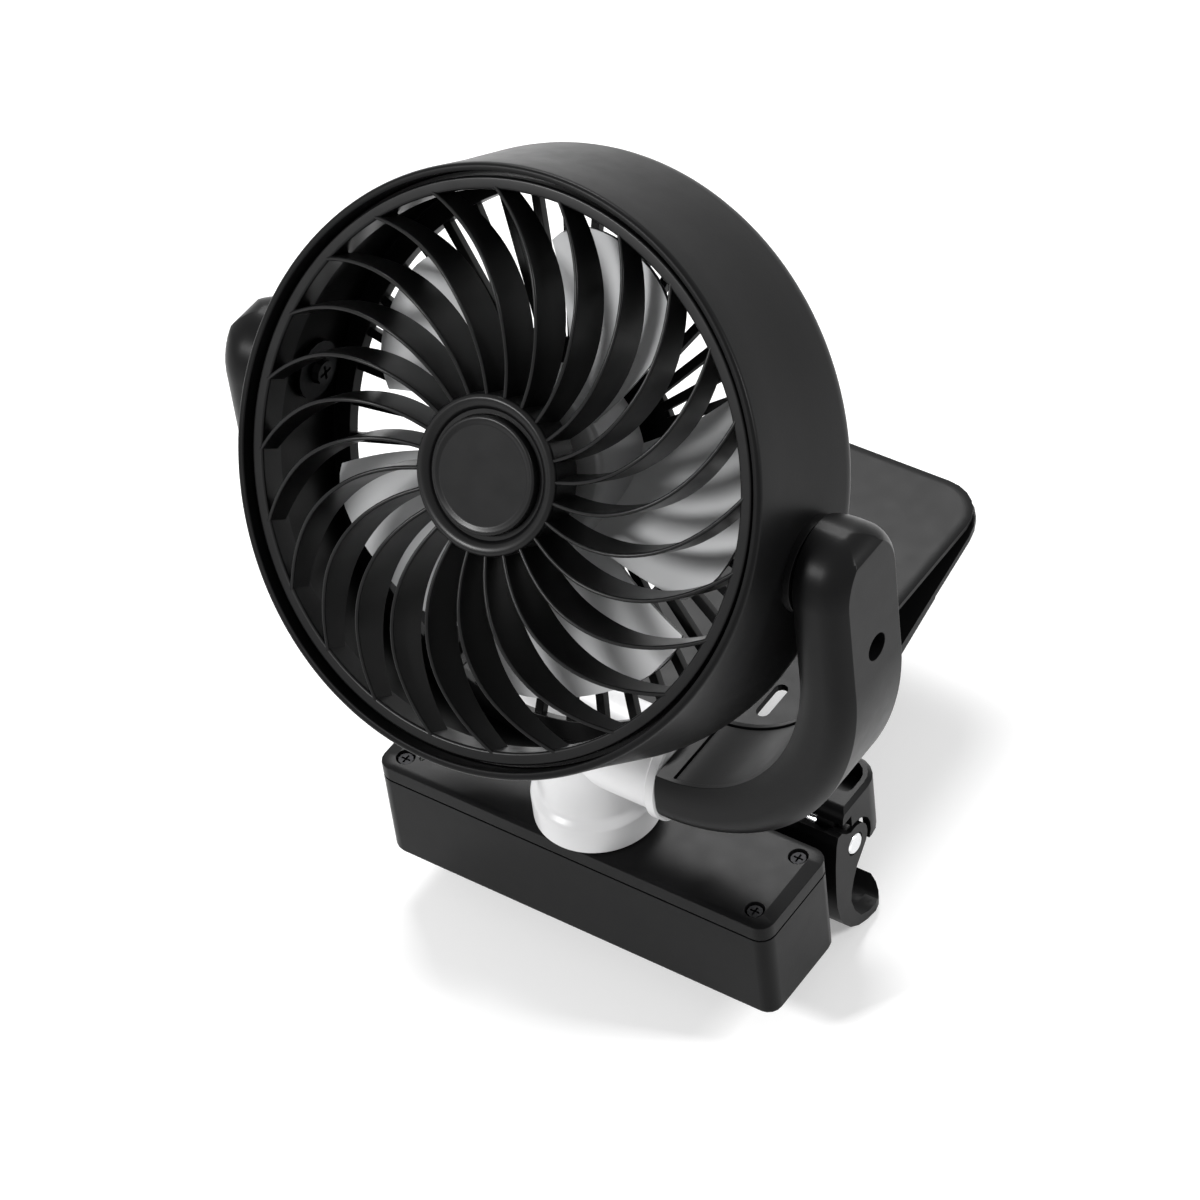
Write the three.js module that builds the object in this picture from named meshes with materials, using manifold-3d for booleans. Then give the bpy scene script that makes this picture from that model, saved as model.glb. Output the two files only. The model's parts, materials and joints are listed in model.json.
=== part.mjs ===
// Clip fan, in millimetres, +Z up. The origin is the centre of the underside of the battery box,
// X runs along the box to the fan's right and the fan blows towards -Y.
import * as THREE from "three";
import { mergeVertices } from "three/addons/utils/BufferGeometryUtils.js";
import Module from "manifold-3d";

const wasm = await Module();
wasm.setup();

// ---- Clearances ----
const SEAT = 0.3; // between two pieces that rest on each other
const RUN = 0.3; // radial play of a turning or sliding fit

// ---- Battery box ----
const BOX_LENGTH = 128;
const BOX_WIDTH = 32.4;
const BOX_HEIGHT = 35.4;
const HALF_LENGTH = BOX_LENGTH / 2;
const HALF_WIDTH = BOX_WIDTH / 2;
const COVER_HEIGHT = 5.8; // side of the cover, below the chamfer's top
const BOX_CORNER = 4.4; // plan radius
const BOX_FOOT = 1.4; // round along the bottom edges
const BOX_WALL = 2;
const COVER_BEVEL_END = 4; // width of the sloped edge at the two ends
const COVER_BEVEL_SIDE = 2.1;
const COVER_BEVEL_DROP = 0.8;
const BOX_SCREW_X = HALF_LENGTH - 6.7;
const BOX_SCREW_Y = HALF_WIDTH - 5.4;
const BOX_POST = 3.5; // radius
const BOX_RECESS = 2.75; // radius of the screw recesses in the cover
const LED_X = -HALF_LENGTH + 11.1;
const LED_Y = -HALF_WIDTH + 7.15;

// ---- Swivel hub ----
const HUB_FOOT = HALF_WIDTH + 1.6; // radius of the turning disc
const HUB_STEM = HUB_FOOT - 2.3; // radius of the upright
const HUB_TUBE = 13; // radius of the cross tube
const HUB_FLANGE = 14.5; // radius of the tube's end rings
const HUB_HALF = 31; // half length of the cross tube
const HUB_AXIS_Z = BOX_HEIGHT + 30.1;
const SPIGOT = HALF_WIDTH - 7.1; // radius of the pivot under the disc

// ---- Head ----
const HEAD_LEAN = 32; // degrees the air flow points above level
const HEAD_LIP = 76.9; // outer radius at the front lip
const HEAD_FRONT = 28; // front lip ahead of the pivot
const HEAD_BACK = -15.6;
const HEAD_FLARE = 2.3; // how much wider the drum is at the back
const HEAD_WALL = 2.2;
const HEAD_CLEAR = 1.66; // least room between the turning lip and the hub's flanges
const PIVOT_Z = HUB_AXIS_Z + HUB_FLANGE + Math.hypot(HEAD_LIP, HEAD_FRONT) + HEAD_CLEAR;
const COLLAR = 12.8; // radius of the pivot collars on the drum
const COLLAR_X = HEAD_LIP + 2.5;
const GRILLE_OUT = HEAD_LIP - HEAD_WALL - 1.4;
const GRILLE_IN = GRILLE_OUT - 3.3;
const GRILLE_FACE = HEAD_FRONT - 2;
const GRILLE_BACK = GRILLE_FACE - 8;
const VANES = 24;
const VANE_BACK = GRILLE_BACK + 1.5;
const VANE_FRONT_THICK = 1.1;
const VANE_BACK_THICK = 1.9;
const HUBRING = 20.5; // radius of the grille's middle
const HUBRING_FACE = HEAD_FRONT + 2.4;
const CAP = 15; // radius of the middle cap
const CAP_FACE = HUBRING_FACE + 0.8;
const SLATS = 45;
const SLAT_WIDTH = 2.4;
const SLAT_START = -1; // degrees that the slats' pattern is turned
const REAR_DISC = 30;
const REAR_OUT = HEAD_LIP - 4.7;

// ---- Motor and impeller, along the head's own axis ----
const MOTOR = 17.2;
const IMPELLER_FACE = HEAD_FRONT - 14;
const MOTOR_FRONT = IMPELLER_FACE - 10.5;
const SHAFT = 1.5;
const BLADES = 5;
const BLADE_TIP = GRILLE_IN - 10;
const BLADE_HUB = 24;
const BLADE_SWEEP = 54; // degrees each blade covers
const BLADE_FRONT = IMPELLER_FACE - 2;
const BLADE_REAR = HEAD_BACK + 8.6;
const BLADE_THICK = 1.5;

// ---- Yoke arms ----
const ARM_GAP = 1.1; // between the drum's collar and an arm
const ARM_FACE = COLLAR_X + ARM_GAP;
const ARM_THICK = 14.8;
const ARM_ROOT_THICK = 17.4;
const ARM_HALF = 14.6; // half width
const ARM_ROUND = 8.5; // round of the two sides
const ARM_EDGE = 32; // degrees of the edge where a side meets the flat outer face
const ARM_RIM = 0.89; // half width at the inner rim, as a share of the half width
const ARM_ROOT_X = HUB_HALF + 0.4;
const ARM_ROOT_Z = HUB_AXIS_Z + 10.4;
const ARM_BEND_Z = PIVOT_Z - 26.5; // height where the arm becomes upright
const ARM_BEND_POWER = 1.9;
const ARM_SCREW_Z = PIVOT_Z - 20.5;
const CHANNEL_HALF = 11.6; // the channel along the inner side of an arm
const CHANNEL_DEEP = 2.9;
const CHANNEL_FROM = 0.05; // where it starts, as a share of the bend
const AXLE = 4.5;
const AXLE_HALF = HUB_HALF + 7;
const PIVOT_STUB = 5.5;

// ---- Clip ----
const CLIP_HALF = HALF_LENGTH - 3;
const PIN = 3.2; // radius of the hinge pin
const PIN_Y = HALF_WIDTH + 16.1;
const PIN_Z = BOX_HEIGHT - 13.8;
const CLIP_TOP = BOX_HEIGHT + 2.6;
const CLIP_SHEET = 2.3;
const CLIP_WALL = 2.5;
const CLIP_FRONT = PIN_Y - 5;
const CLIP_BACK = PIN_Y + 16.3;
const CLIP_CORNER = 8;
const CLIP_EDGE = 1.2; // sloped edge round the housing's top
const JAW_UNDER = CLIP_TOP - CLIP_SHEET;
const JAW_HALF = 32.6;
const JAW_TIP = 154;
const JAW_CORNER = 14;
const LEVER_WALL = 2.5;
const LUG_OUT = CLIP_HALF - 5;
const LUG_IN = LUG_OUT - 5.5;
const CHEEK_IN = LUG_OUT + 0.5;
const LOWER_HALF = JAW_HALF + 1.2;
const LOWER_TIP = JAW_TIP - 0.6;
const LOWER_KNEE = LOWER_TIP - 9.2; // where the sloping lower plate turns level under the upper one
const LOWER_THICK = 2.07;
const LOWER_FOOT_Z = PIN_Z - 27.8; // height of its underside carried forward to y = 0
const LOWER_RISE = (JAW_UNDER - SEAT - LOWER_THICK - LOWER_FOOT_Z) / LOWER_KNEE;
const BRACKET_HALF = CLIP_HALF - 31;
const BRACKET_SCREW_X = BRACKET_HALF - 10;
const BRACKET_SCREW_Z = BOX_HEIGHT - 10.4;
const SPRING_WIRE = 1; // radius
const SPRING_MEAN = 5.6;
const SPRING_TURNS = 5;
const SPRING_PITCH = 2.6;

const DEG = Math.PI / 180;
const FINE = 48; // steps round the large rings
const MEDIUM = 28;
const ROUND = 18;
const SMALL = 10;

// ---------- Solids ----------

function manifoldOf(positions, faces) {
  return new wasm.Manifold(new wasm.Mesh({
    numProp: 3,
    vertProperties: positions,
    triVerts: new Uint32Array(faces),
  }));
}

// A closed geometry as a solid with its faces outward.
function solid(geometry) {
  const bare = geometry.clone();
  bare.deleteAttribute("normal");
  bare.deleteAttribute("uv");
  const merged = mergeVertices(bare, 1e-4);
  const index = merged.index.array;
  const faces = [];
  for (let i = 0; i < index.length; i += 3) {
    const [a, b, c] = [index[i], index[i + 1], index[i + 2]];
    if (a !== b && b !== c && c !== a) faces.push(a, b, c);
  }
  const positions = new Float32Array(merged.attributes.position.array);
  const made = manifoldOf(positions, faces);
  return made.volume() > 0 ? made : manifoldOf(positions, faces.reverse());
}

function union(...parts) {
  return parts.reduce((whole, part) => whole.add(part));
}

function box(x0, x1, y0, y1, z0, z1) {
  const shape = new THREE.BoxGeometry(x1 - x0, y1 - y0, z1 - z0);
  shape.translate((x0 + x1) / 2, (y0 + y1) / 2, (z0 + z1) / 2);
  return solid(shape);
}

// A round bar from a to b along one axis, its centre line at the two other coordinates.
function rod(axis, radius, a, b, centre, steps = ROUND) {
  const shape = new THREE.CylinderGeometry(radius, radius, b - a, steps);
  const middle = (a + b) / 2;
  if (axis === "x") {
    shape.rotateZ(Math.PI / 2);
    shape.translate(middle, centre[0], centre[1]);
  } else if (axis === "y") {
    shape.translate(centre[0], middle, centre[1]);
  } else {
    shape.rotateX(Math.PI / 2);
    shape.translate(centre[0], centre[1], middle);
  }
  return solid(shape);
}

// A turned solid about Z from its [radius, height] outline, which closes on itself or on the axis.
function turned(outline, steps = FINE) {
  const points = outline.map(([r, z]) => new THREE.Vector2(r, z));
  if (outline[0][0] > 0) points.push(points[0].clone());
  const shape = new THREE.LatheGeometry(points, steps);
  shape.rotateX(Math.PI / 2);
  return solid(shape);
}

// A flat outline pushed from a to b. plane names the two axes the outline is drawn in.
function prism(outline, a, b, plane) {
  const shape = new THREE.ExtrudeGeometry(
    new THREE.Shape(outline.map(([u, v]) => new THREE.Vector2(u, v))),
    { depth: b - a, bevelEnabled: false },
  );
  shape.translate(0, 0, a);
  if (plane === "yz") {
    const turn = new THREE.Matrix4();
    turn.set(0, 0, 1, 0, 1, 0, 0, 0, 0, 1, 0, 0, 0, 0, 0, 1);
    shape.applyMatrix4(turn);
  }
  return solid(shape);
}

// A skin through rings of points, closed at both ends by fans.
function loft(rings) {
  const size = rings[0].length;
  const points = rings.flat();
  const faces = [];
  for (let i = 0; i + 1 < rings.length; i++) {
    for (let j = 0; j < size; j++) {
      const a = i * size + j;
      const b = i * size + ((j + 1) % size);
      faces.push(a, b, b + size, a, b + size, a + size);
    }
  }
  for (const [ring, turn] of [[0, true], [rings.length - 1, false]]) {
    const middle = new THREE.Vector3();
    rings[ring].forEach((p) => middle.add(p));
    points.push(middle.divideScalar(size));
    for (let j = 0; j < size; j++) {
      const a = ring * size + j;
      const b = ring * size + ((j + 1) % size);
      if (turn) faces.push(b, a, points.length - 1);
      else faces.push(a, b, points.length - 1);
    }
  }
  const shape = new THREE.BufferGeometry().setFromPoints(points);
  shape.setIndex(faces);
  return solid(shape);
}

// A rounded rectangle, counter-clockwise, with steps pieces in each corner.
function roundedRect(halfX, halfY, radius, steps = 4) {
  const outline = [];
  for (const [sx, sy, from] of [[1, 1, 0], [-1, 1, 90], [-1, -1, 180], [1, -1, 270]]) {
    for (let i = 0; i <= steps; i++) {
      const angle = (from + (90 * i) / steps) * DEG;
      outline.push([
        sx * (halfX - radius) + radius * Math.cos(angle),
        sy * (halfY - radius) + radius * Math.sin(angle),
      ]);
    }
  }
  return outline;
}

function ringAt(outline, z) {
  return outline.map(([x, y]) => new THREE.Vector3(x, y, z));
}

// Points of an arc, angles in degrees.
function arc(cx, cy, radius, from, to, steps) {
  return Array.from({ length: steps + 1 }, (_, i) => {
    const angle = (from + ((to - from) * i) / steps) * DEG;
    return [cx + radius * Math.cos(angle), cy + radius * Math.sin(angle)];
  });
}

// A cross slot for a screwdriver, cut into a head that faces +Z at the origin.
function crossSlot(reach, deep) {
  const half = reach / 5;
  return union(
    box(-reach, reach, -half, half, -deep, 1),
    box(-half, half, -reach, reach, -deep, 1),
  );
}

// A screw along Z with its head's face at the origin and its shank below.
function screw(headRadius, headHeight, shankRadius, length) {
  return turned([
    [0, 0],
    [headRadius * 0.9, 0],
    [headRadius, -headHeight],
    [shankRadius, -headHeight],
    [shankRadius, -length],
    [0, -length],
  ], SMALL).subtract(crossSlot(headRadius * 0.6, headHeight * 0.5));
}

// ---------- Battery box ----------

const SEAM_Z = BOX_HEIGHT - COVER_HEIGHT;
const BOX_SCREWS = [[-1, -1], [1, -1], [-1, 1], [1, 1]];
const COVER_TOP_IN = BOX_HEIGHT - BOX_WALL - 0.2;
const BATTERY = (BOX_HEIGHT - 17.2) / 2; // radius
const BATTERY_LENGTH = 65;
const BATTERY_X = 5.5;
const HOLDER_FLOOR = 1.7;
const HOLDER_END = BATTERY_LENGTH / 2 + 0.5; // inner face of an end plate, from the cell's middle
const HOLDER_Z = BOX_WALL + SEAT;
const BATTERY_Z = HOLDER_Z + HOLDER_FLOOR + SEAT + BATTERY;
const BOARD_THICK = 1.6;
const BUTTON = 4.2;
const BUTTON_Z = BOX_HEIGHT - 14;
const BOARD_Z = BUTTON_Z - 7.4;
const BOARD_TOP = BOARD_Z + BOARD_THICK;
const BOARD_HALF = BOX_SCREW_Y - BOX_POST - 0.7;
const BUTTON_OUT = 1.4;
const SWITCH_TIP = -HALF_LENGTH + 6.9; // end of the switch's plunger
const INLET_HALF = 3.9;
const INLET_HIGH = 3;
const INLET_TOP = BOARD_Z - SEAT;

function boxOutline(inset) {
  return roundedRect(HALF_LENGTH - inset, HALF_WIDTH - inset, BOX_CORNER - inset);
}

function baseShell() {
  const top = SEAM_Z - SEAT / 2;
  let shell = loft([
    ringAt(boxOutline(BOX_FOOT), 0),
    ringAt(boxOutline(BOX_FOOT * 0.29), BOX_FOOT * 0.29),
    ringAt(boxOutline(0), BOX_FOOT),
    ringAt(boxOutline(0), top),
  ]);
  shell = shell.subtract(loft([
    ringAt(boxOutline(BOX_WALL), BOX_WALL),
    ringAt(boxOutline(BOX_WALL), top + 1),
  ]));
  for (const [sx, sy] of BOX_SCREWS) {
    const at = [sx * BOX_SCREW_X, sy * BOX_SCREW_Y];
    shell = shell.add(rod("z", BOX_POST, BOX_WALL / 2, top, at, SMALL));
    shell = shell.subtract(rod("z", 1.3, top - 12, top + 1, at, SMALL));
  }
  shell = shell.subtract(
    rod("x", BUTTON + RUN, -HALF_LENGTH - 1, -HALF_LENGTH + BOX_WALL + 1, [0, BUTTON_Z]),
  );
  const mouth = INLET_HALF + 0.4;
  shell = shell.subtract(box(
    -HALF_LENGTH - 1, -HALF_LENGTH + BOX_WALL + 1,
    -mouth, mouth, INLET_TOP - INLET_HIGH - 0.4, INLET_TOP + 0.4,
  ));
  for (const side of [-1, 1]) {
    const at = [side * BRACKET_SCREW_X, BRACKET_SCREW_Z];
    shell = shell.add(rod("y", 3, HALF_WIDTH - 5, HALF_WIDTH - 1, at, SMALL));
    shell = shell.subtract(rod("y", 1.4, HALF_WIDTH - 6, HALF_WIDTH + 1, at, SMALL));
  }
  return shell;
}

function baseCover() {
  const low = SEAM_Z + SEAT / 2;
  const edge = BOX_HEIGHT - COVER_BEVEL_DROP;
  const topOutline = roundedRect(
    HALF_LENGTH - COVER_BEVEL_END, HALF_WIDTH - COVER_BEVEL_SIDE, BOX_CORNER - COVER_BEVEL_SIDE,
  );
  let cover = loft([
    ringAt(boxOutline(0.35), low),
    ringAt(boxOutline(0), low + 0.35),
    ringAt(boxOutline(0), edge),
    ringAt(topOutline, BOX_HEIGHT),
  ]);
  cover = cover.subtract(loft([
    ringAt(boxOutline(BOX_WALL), low - 1),
    ringAt(boxOutline(BOX_WALL), COVER_TOP_IN),
  ]));
  cover = cover.add(rod("z", SPIGOT + 3, COVER_TOP_IN - 2, COVER_TOP_IN + 1, [0, 0]));
  cover = cover.subtract(rod("z", SPIGOT + RUN, low, BOX_HEIGHT + 1, [0, 0]));
  for (const [sx, sy] of BOX_SCREWS) {
    const at = [sx * BOX_SCREW_X, sy * BOX_SCREW_Y];
    cover = cover.add(rod("z", BOX_POST, low, COVER_TOP_IN + 0.5, at, SMALL));
    cover = cover.subtract(rod("z", BOX_RECESS, BOX_HEIGHT - 2.6, BOX_HEIGHT + 1, at, 16));
    cover = cover.subtract(rod("z", 1.3, low - 1, BOX_HEIGHT, at, SMALL));
  }
  return cover.subtract(rod("z", 0.75, COVER_TOP_IN - 1, BOX_HEIGHT + 1, [LED_X, LED_Y], SMALL));
}

function coverScrew([sx, sy]) {
  const top = BOX_HEIGHT - 2.6 + SEAT + 1.6;
  return screw(2.4, 1.6, 1, 14).translate([sx * BOX_SCREW_X, sy * BOX_SCREW_Y, top]);
}

function ledLens() {
  return turned([
    [0, COVER_TOP_IN - 2.2],
    [0.95, COVER_TOP_IN - 2.2],
    [0.95, COVER_TOP_IN - SEAT],
    [0.5, COVER_TOP_IN - SEAT],
    [0.5, BOX_HEIGHT - 0.2],
    [0, BOX_HEIGHT],
  ], SMALL).translate([LED_X, LED_Y, 0]);
}

function batteryCell() {
  const half = BATTERY_LENGTH / 2;
  return turned([
    [0, -half],
    [BATTERY - 0.8, -half],
    [BATTERY, -half + 0.8],
    [BATTERY, half - 2.2],
    [BATTERY - 0.8, half - 1.4],
    [3.2, half - 1.4],
    [3.2, half],
    [0, half],
  ], ROUND).rotate([0, 90, 0]).translate([BATTERY_X, 0, BATTERY_Z]);
}

function batteryHolder() {
  const far = HOLDER_END + HOLDER_FLOOR;
  const half = HALF_WIDTH - BOX_WALL - 3.2;
  const floor = HOLDER_Z + HOLDER_FLOOR;
  const parts = [box(BATTERY_X - far, BATTERY_X + far, -half, half, HOLDER_Z, floor)];
  for (const side of [-1, 1]) {
    const x0 = BATTERY_X + (side > 0 ? HOLDER_END : -far);
    parts.push(box(x0, x0 + HOLDER_FLOOR, -half + 2, half - 2, floor - 0.5, BATTERY_Z + 6));
    const rib = BATTERY_X + side * 18;
    const saddle = box(rib - 1, rib + 1, -half + 1, half - 1, floor - 0.5, floor + 4);
    parts.push(saddle.subtract(rod("x", BATTERY + RUN, rib - 2, rib + 2, [0, BATTERY_Z])));
  }
  return union(...parts);
}

function circuitBoard() {
  const end = BATTERY_X - HOLDER_END - HOLDER_FLOOR - 1.3;
  return box(-HALF_LENGTH + BOX_WALL + 0.4, end, -BOARD_HALF, BOARD_HALF, BOARD_Z, BOARD_TOP);
}

function chargingInlet() {
  const face = -HALF_LENGTH + 0.4;
  const low = INLET_TOP - INLET_HIGH;
  const shell = box(face, face + 6.4, -INLET_HALF, INLET_HALF, low, INLET_TOP);
  const open = INLET_HALF - 0.6;
  const mouth = box(face - 1, face + 4.6, -open, open, low + 0.6, INLET_TOP - 0.6);
  const tongue = box(face + 0.8, face + 5, -2.4, 2.4, low + 1.2, INLET_TOP - 1.2);
  return shell.subtract(mouth).add(tongue);
}

function tactSwitch() {
  const face = SWITCH_TIP + 0.6;
  const body = box(face, face + 4, -3.2, 3.2, BOARD_TOP + SEAT, BUTTON_Z + 3.2);
  return body.add(rod("x", 1.4, SWITCH_TIP, face + 0.5, [0, BUTTON_Z], SMALL));
}

function powerButton() {
  const inner = -HALF_LENGTH + BOX_WALL;
  return turned([
    [0, -HALF_LENGTH - BUTTON_OUT],
    [BUTTON - 0.6, -HALF_LENGTH - BUTTON_OUT],
    [BUTTON, -HALF_LENGTH - BUTTON_OUT + 0.5],
    [BUTTON, inner + SEAT],
    [BUTTON + 1.2, inner + SEAT],
    [BUTTON + 1.2, inner + SEAT + 1],
    [1.5, inner + SEAT + 1],
    [1.5, SWITCH_TIP - 1.1],
    [0, SWITCH_TIP - 1.1],
  ], ROUND).rotate([0, 90, 0]).translate([0, 0, BUTTON_Z]);
}

// ---------- Swivel hub ----------

const HUB_FOOT_Z = BOX_HEIGHT + SEAT;

function swivelHub() {
  let hub = turned([
    [0, COVER_TOP_IN - 2.6],
    [SPIGOT, COVER_TOP_IN - 2.6],
    [SPIGOT, HUB_FOOT_Z],
    [HUB_FOOT, HUB_FOOT_Z],
    [HUB_FOOT, HUB_FOOT_Z + 8.2],
    [HUB_FOOT - 0.5, HUB_FOOT_Z + 9],
    [HUB_STEM + 0.5, HUB_FOOT_Z + 10.2],
    [HUB_STEM, HUB_FOOT_Z + 11],
    [HUB_STEM, HUB_AXIS_Z - 5],
    [HUB_STEM - 1.5, HUB_AXIS_Z],
    [HUB_STEM - 5.5, HUB_AXIS_Z + 5],
    [0, HUB_AXIS_Z + 8],
  ], MEDIUM);
  const half = turned([
    [0, 0],
    [HUB_TUBE, 0],
    [HUB_TUBE, HUB_HALF - 3.7],
    [HUB_FLANGE - 0.4, HUB_HALF - 3.5],
    [HUB_FLANGE, HUB_HALF - 3],
    [HUB_FLANGE, HUB_HALF - 0.5],
    [HUB_FLANGE - 0.5, HUB_HALF],
    [0, HUB_HALF],
  ], MEDIUM);
  for (const side of [-1, 1]) hub = hub.add(half.rotate([0, side * 90, 0]).translate([0, 0, HUB_AXIS_Z]));
  hub = hub.subtract(rod("x", AXLE + RUN, -HUB_HALF - 1, HUB_HALF + 1, [0, HUB_AXIS_Z]));
  return hub.subtract(rod("z", 2.3, COVER_TOP_IN - 10, BOX_HEIGHT + 14, [0, 0], SMALL));
}

function swivelWasher() {
  const top = COVER_TOP_IN - 2.6 - SEAT;
  return turned([[2.5, top - 1.6], [SPIGOT + 2.9, top - 1.6], [SPIGOT + 2.9, top], [2.5, top]], ROUND);
}

function swivelScrew() {
  const seat = COVER_TOP_IN - 2.6 - SEAT - 1.6 - SEAT;
  return screw(4.4, 2.2, 2, 20).rotate([180, 0, 0]).translate([0, 0, seat - 2.2]);
}

// ---------- Yoke ----------

// One station of the arm's inner edge: place, outward direction and thickness.
function armStation(x, z, nx, nz, thick) {
  return { x, z, nx, nz, thick };
}

function armBend(share) {
  const angle = share * 90 * DEG;
  const power = 2 / ARM_BEND_POWER;
  const point = (t) => [
    ARM_ROOT_X + 1.5 + (ARM_FACE - ARM_ROOT_X - 1.5) * Math.sin(t) ** power,
    ARM_BEND_Z - (ARM_BEND_Z - ARM_ROOT_Z) * Math.cos(t) ** power,
  ];
  const step = 0.01;
  const [x0, z0] = point(Math.max(angle - step, 0));
  const [x1, z1] = point(Math.min(angle + step, Math.PI / 2));
  const length = Math.hypot(x1 - x0, z1 - z0);
  const [x, z] = point(angle);
  const thick = ARM_ROOT_THICK + (ARM_THICK - ARM_ROOT_THICK) * share ** 1.5;
  return armStation(x, z, (z1 - z0) / length, -(x1 - x0) / length, thick);
}

// Stations from the share of the bend given up to the height given.
function armLine(fromShare, toZ, steps) {
  const line = [];
  for (let i = 0; i <= steps; i++) line.push(armBend(fromShare + ((1 - fromShare) * i) / steps));
  line.push(armStation(ARM_FACE, toZ, 1, 0, ARM_THICK));
  return line;
}

function armRing(station, outline) {
  return outline.map(([u, v]) => new THREE.Vector3(
    station.x + station.nx * u, v, station.z + station.nz * u,
  ));
}

// How far a side's round would stand past the flat outer face.
function armBulge(round) {
  return round * (1 - Math.cos(ARM_EDGE * DEG));
}

// The arm's section, from the inner rim to the outer face and back.
function armSection(half, thick) {
  const round = Math.min(ARM_ROUND, half * 0.9);
  const side = [
    [0, half * ARM_RIM],
    [thick * 0.17, half * 0.975],
    ...arc(thick + armBulge(round) - round, half - round, round, 90, ARM_EDGE, 3),
  ];
  return [...side, ...side.map(([u, v]) => [u, -v]).reverse()];
}

// A flat strip across the arm's channel, from one depth to another.
function insetStrip(near, far, half) {
  return [[near, -half], [far, -half], [far, half], [near, half]];
}

// Rings of a strip along the arm's channel, each end drawn in by a share of its last step.
function channelRings(outline, pull) {
  const rings = armLine(CHANNEL_FROM, PIVOT_Z - 15, 7).map((s) => armRing(s, outline));
  const last = rings.length - 1;
  rings[0] = rings[0].map((p, i) => p.clone().lerp(rings[1][i], pull));
  rings[last] = rings[last].map((p, i) => p.clone().lerp(rings[last - 1][i], pull));
  return rings;
}

function yokeArm() {
  const line = [
    armStation(ARM_ROOT_X, ARM_ROOT_Z, 0, -1, ARM_ROOT_THICK),
    ...armLine(0, PIVOT_Z - 9, 7),
  ];
  const rings = line.map((s) => armRing(s, armSection(ARM_HALF, s.thick)));
  for (const angle of [0, 26, 48, 66, 80]) {
    const high = ARM_HALF * Math.sin(angle * DEG);
    const depth = ARM_HALF - high;
    const inset = Math.max(ARM_ROUND - depth, 0);
    const drop = ARM_ROUND - Math.sqrt(ARM_ROUND ** 2 - inset ** 2);
    const thick = ARM_THICK - Math.max(drop - armBulge(ARM_ROUND), 0);
    const station = armStation(ARM_FACE, PIVOT_Z + high, 1, 0, thick);
    rings.push(armRing(station, armSection(ARM_HALF * Math.cos(angle * DEG), station.thick)));
  }
  let arm = loft(rings);
  arm = arm.subtract(loft(channelRings(insetStrip(-2, CHANNEL_DEEP, CHANNEL_HALF), 0)));
  arm = arm.add(rod("x", COLLAR - 1.8, ARM_FACE - 0.8, ARM_FACE + 2, [0, PIVOT_Z]));
  arm = arm.add(rod("x", PIVOT_STUB, STUB_END, ARM_FACE + 2, [0, PIVOT_Z], 24));
  arm = arm.subtract(rod("x", 2, STUB_END - 1, ARM_FACE + 6, [0, PIVOT_Z], SMALL));
  arm = arm.subtract(rod("x", AXLE + RUN, 20, AXLE_HALF + 0.5, [0, HUB_AXIS_Z]));
  const face = ARM_FACE + ARM_THICK;
  arm = arm.subtract(rod("x", 3.75, face - 9.5, face + 2, [0, ARM_SCREW_Z], 24));
  return arm.subtract(rod("x", 1.3, ARM_FACE - 1, face, [0, ARM_SCREW_Z], SMALL));
}

function armCover() {
  const flat = insetStrip(0.5, CHANNEL_DEEP - SEAT, CHANNEL_HALF - RUN);
  const cover = loft(channelRings(flat, 0.04));
  return cover.subtract(rod("x", 1.3, ARM_FACE - 1, ARM_FACE + 4, [0, ARM_SCREW_Z], SMALL));
}

function armScrew() {
  const face = ARM_FACE + ARM_THICK - 9.5 + SEAT + 2;
  return screw(3.1, 2, 1, face - ARM_FACE - 1.2).rotate([0, 90, 0]).translate([face, 0, ARM_SCREW_Z]);
}

const BOSS_IN = COLLAR_X - 4.2; // inner face of the drum's pivot bosses
const STUB_END = BOSS_IN - SEAT;
const WASHER_IN = STUB_END - SEAT - 1.6;

function pivotWasher() {
  return turned([[2.1, 0], [8, 0], [8, 1.6], [2.1, 1.6]], ROUND)
    .rotate([0, 90, 0]).translate([WASHER_IN, 0, PIVOT_Z]);
}

function pivotScrew() {
  return screw(3.6, 2, 1.7, 12.5).rotate([0, -90, 0])
    .translate([WASHER_IN - SEAT - 2, 0, PIVOT_Z]);
}

function crossAxle() {
  const tube = rod("x", AXLE, -AXLE_HALF, AXLE_HALF, [0, HUB_AXIS_Z]);
  return tube.subtract(rod("x", AXLE - 1.6, -AXLE_HALF - 1, AXLE_HALF + 1, [0, HUB_AXIS_Z], 24));
}

// ---------- Head, drawn along its own axis: Z forward, Y up, origin on the pivot ----------

const LIP_IN = HEAD_LIP - HEAD_WALL;
const BACK_OUT = HEAD_LIP + HEAD_FLARE;

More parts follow.
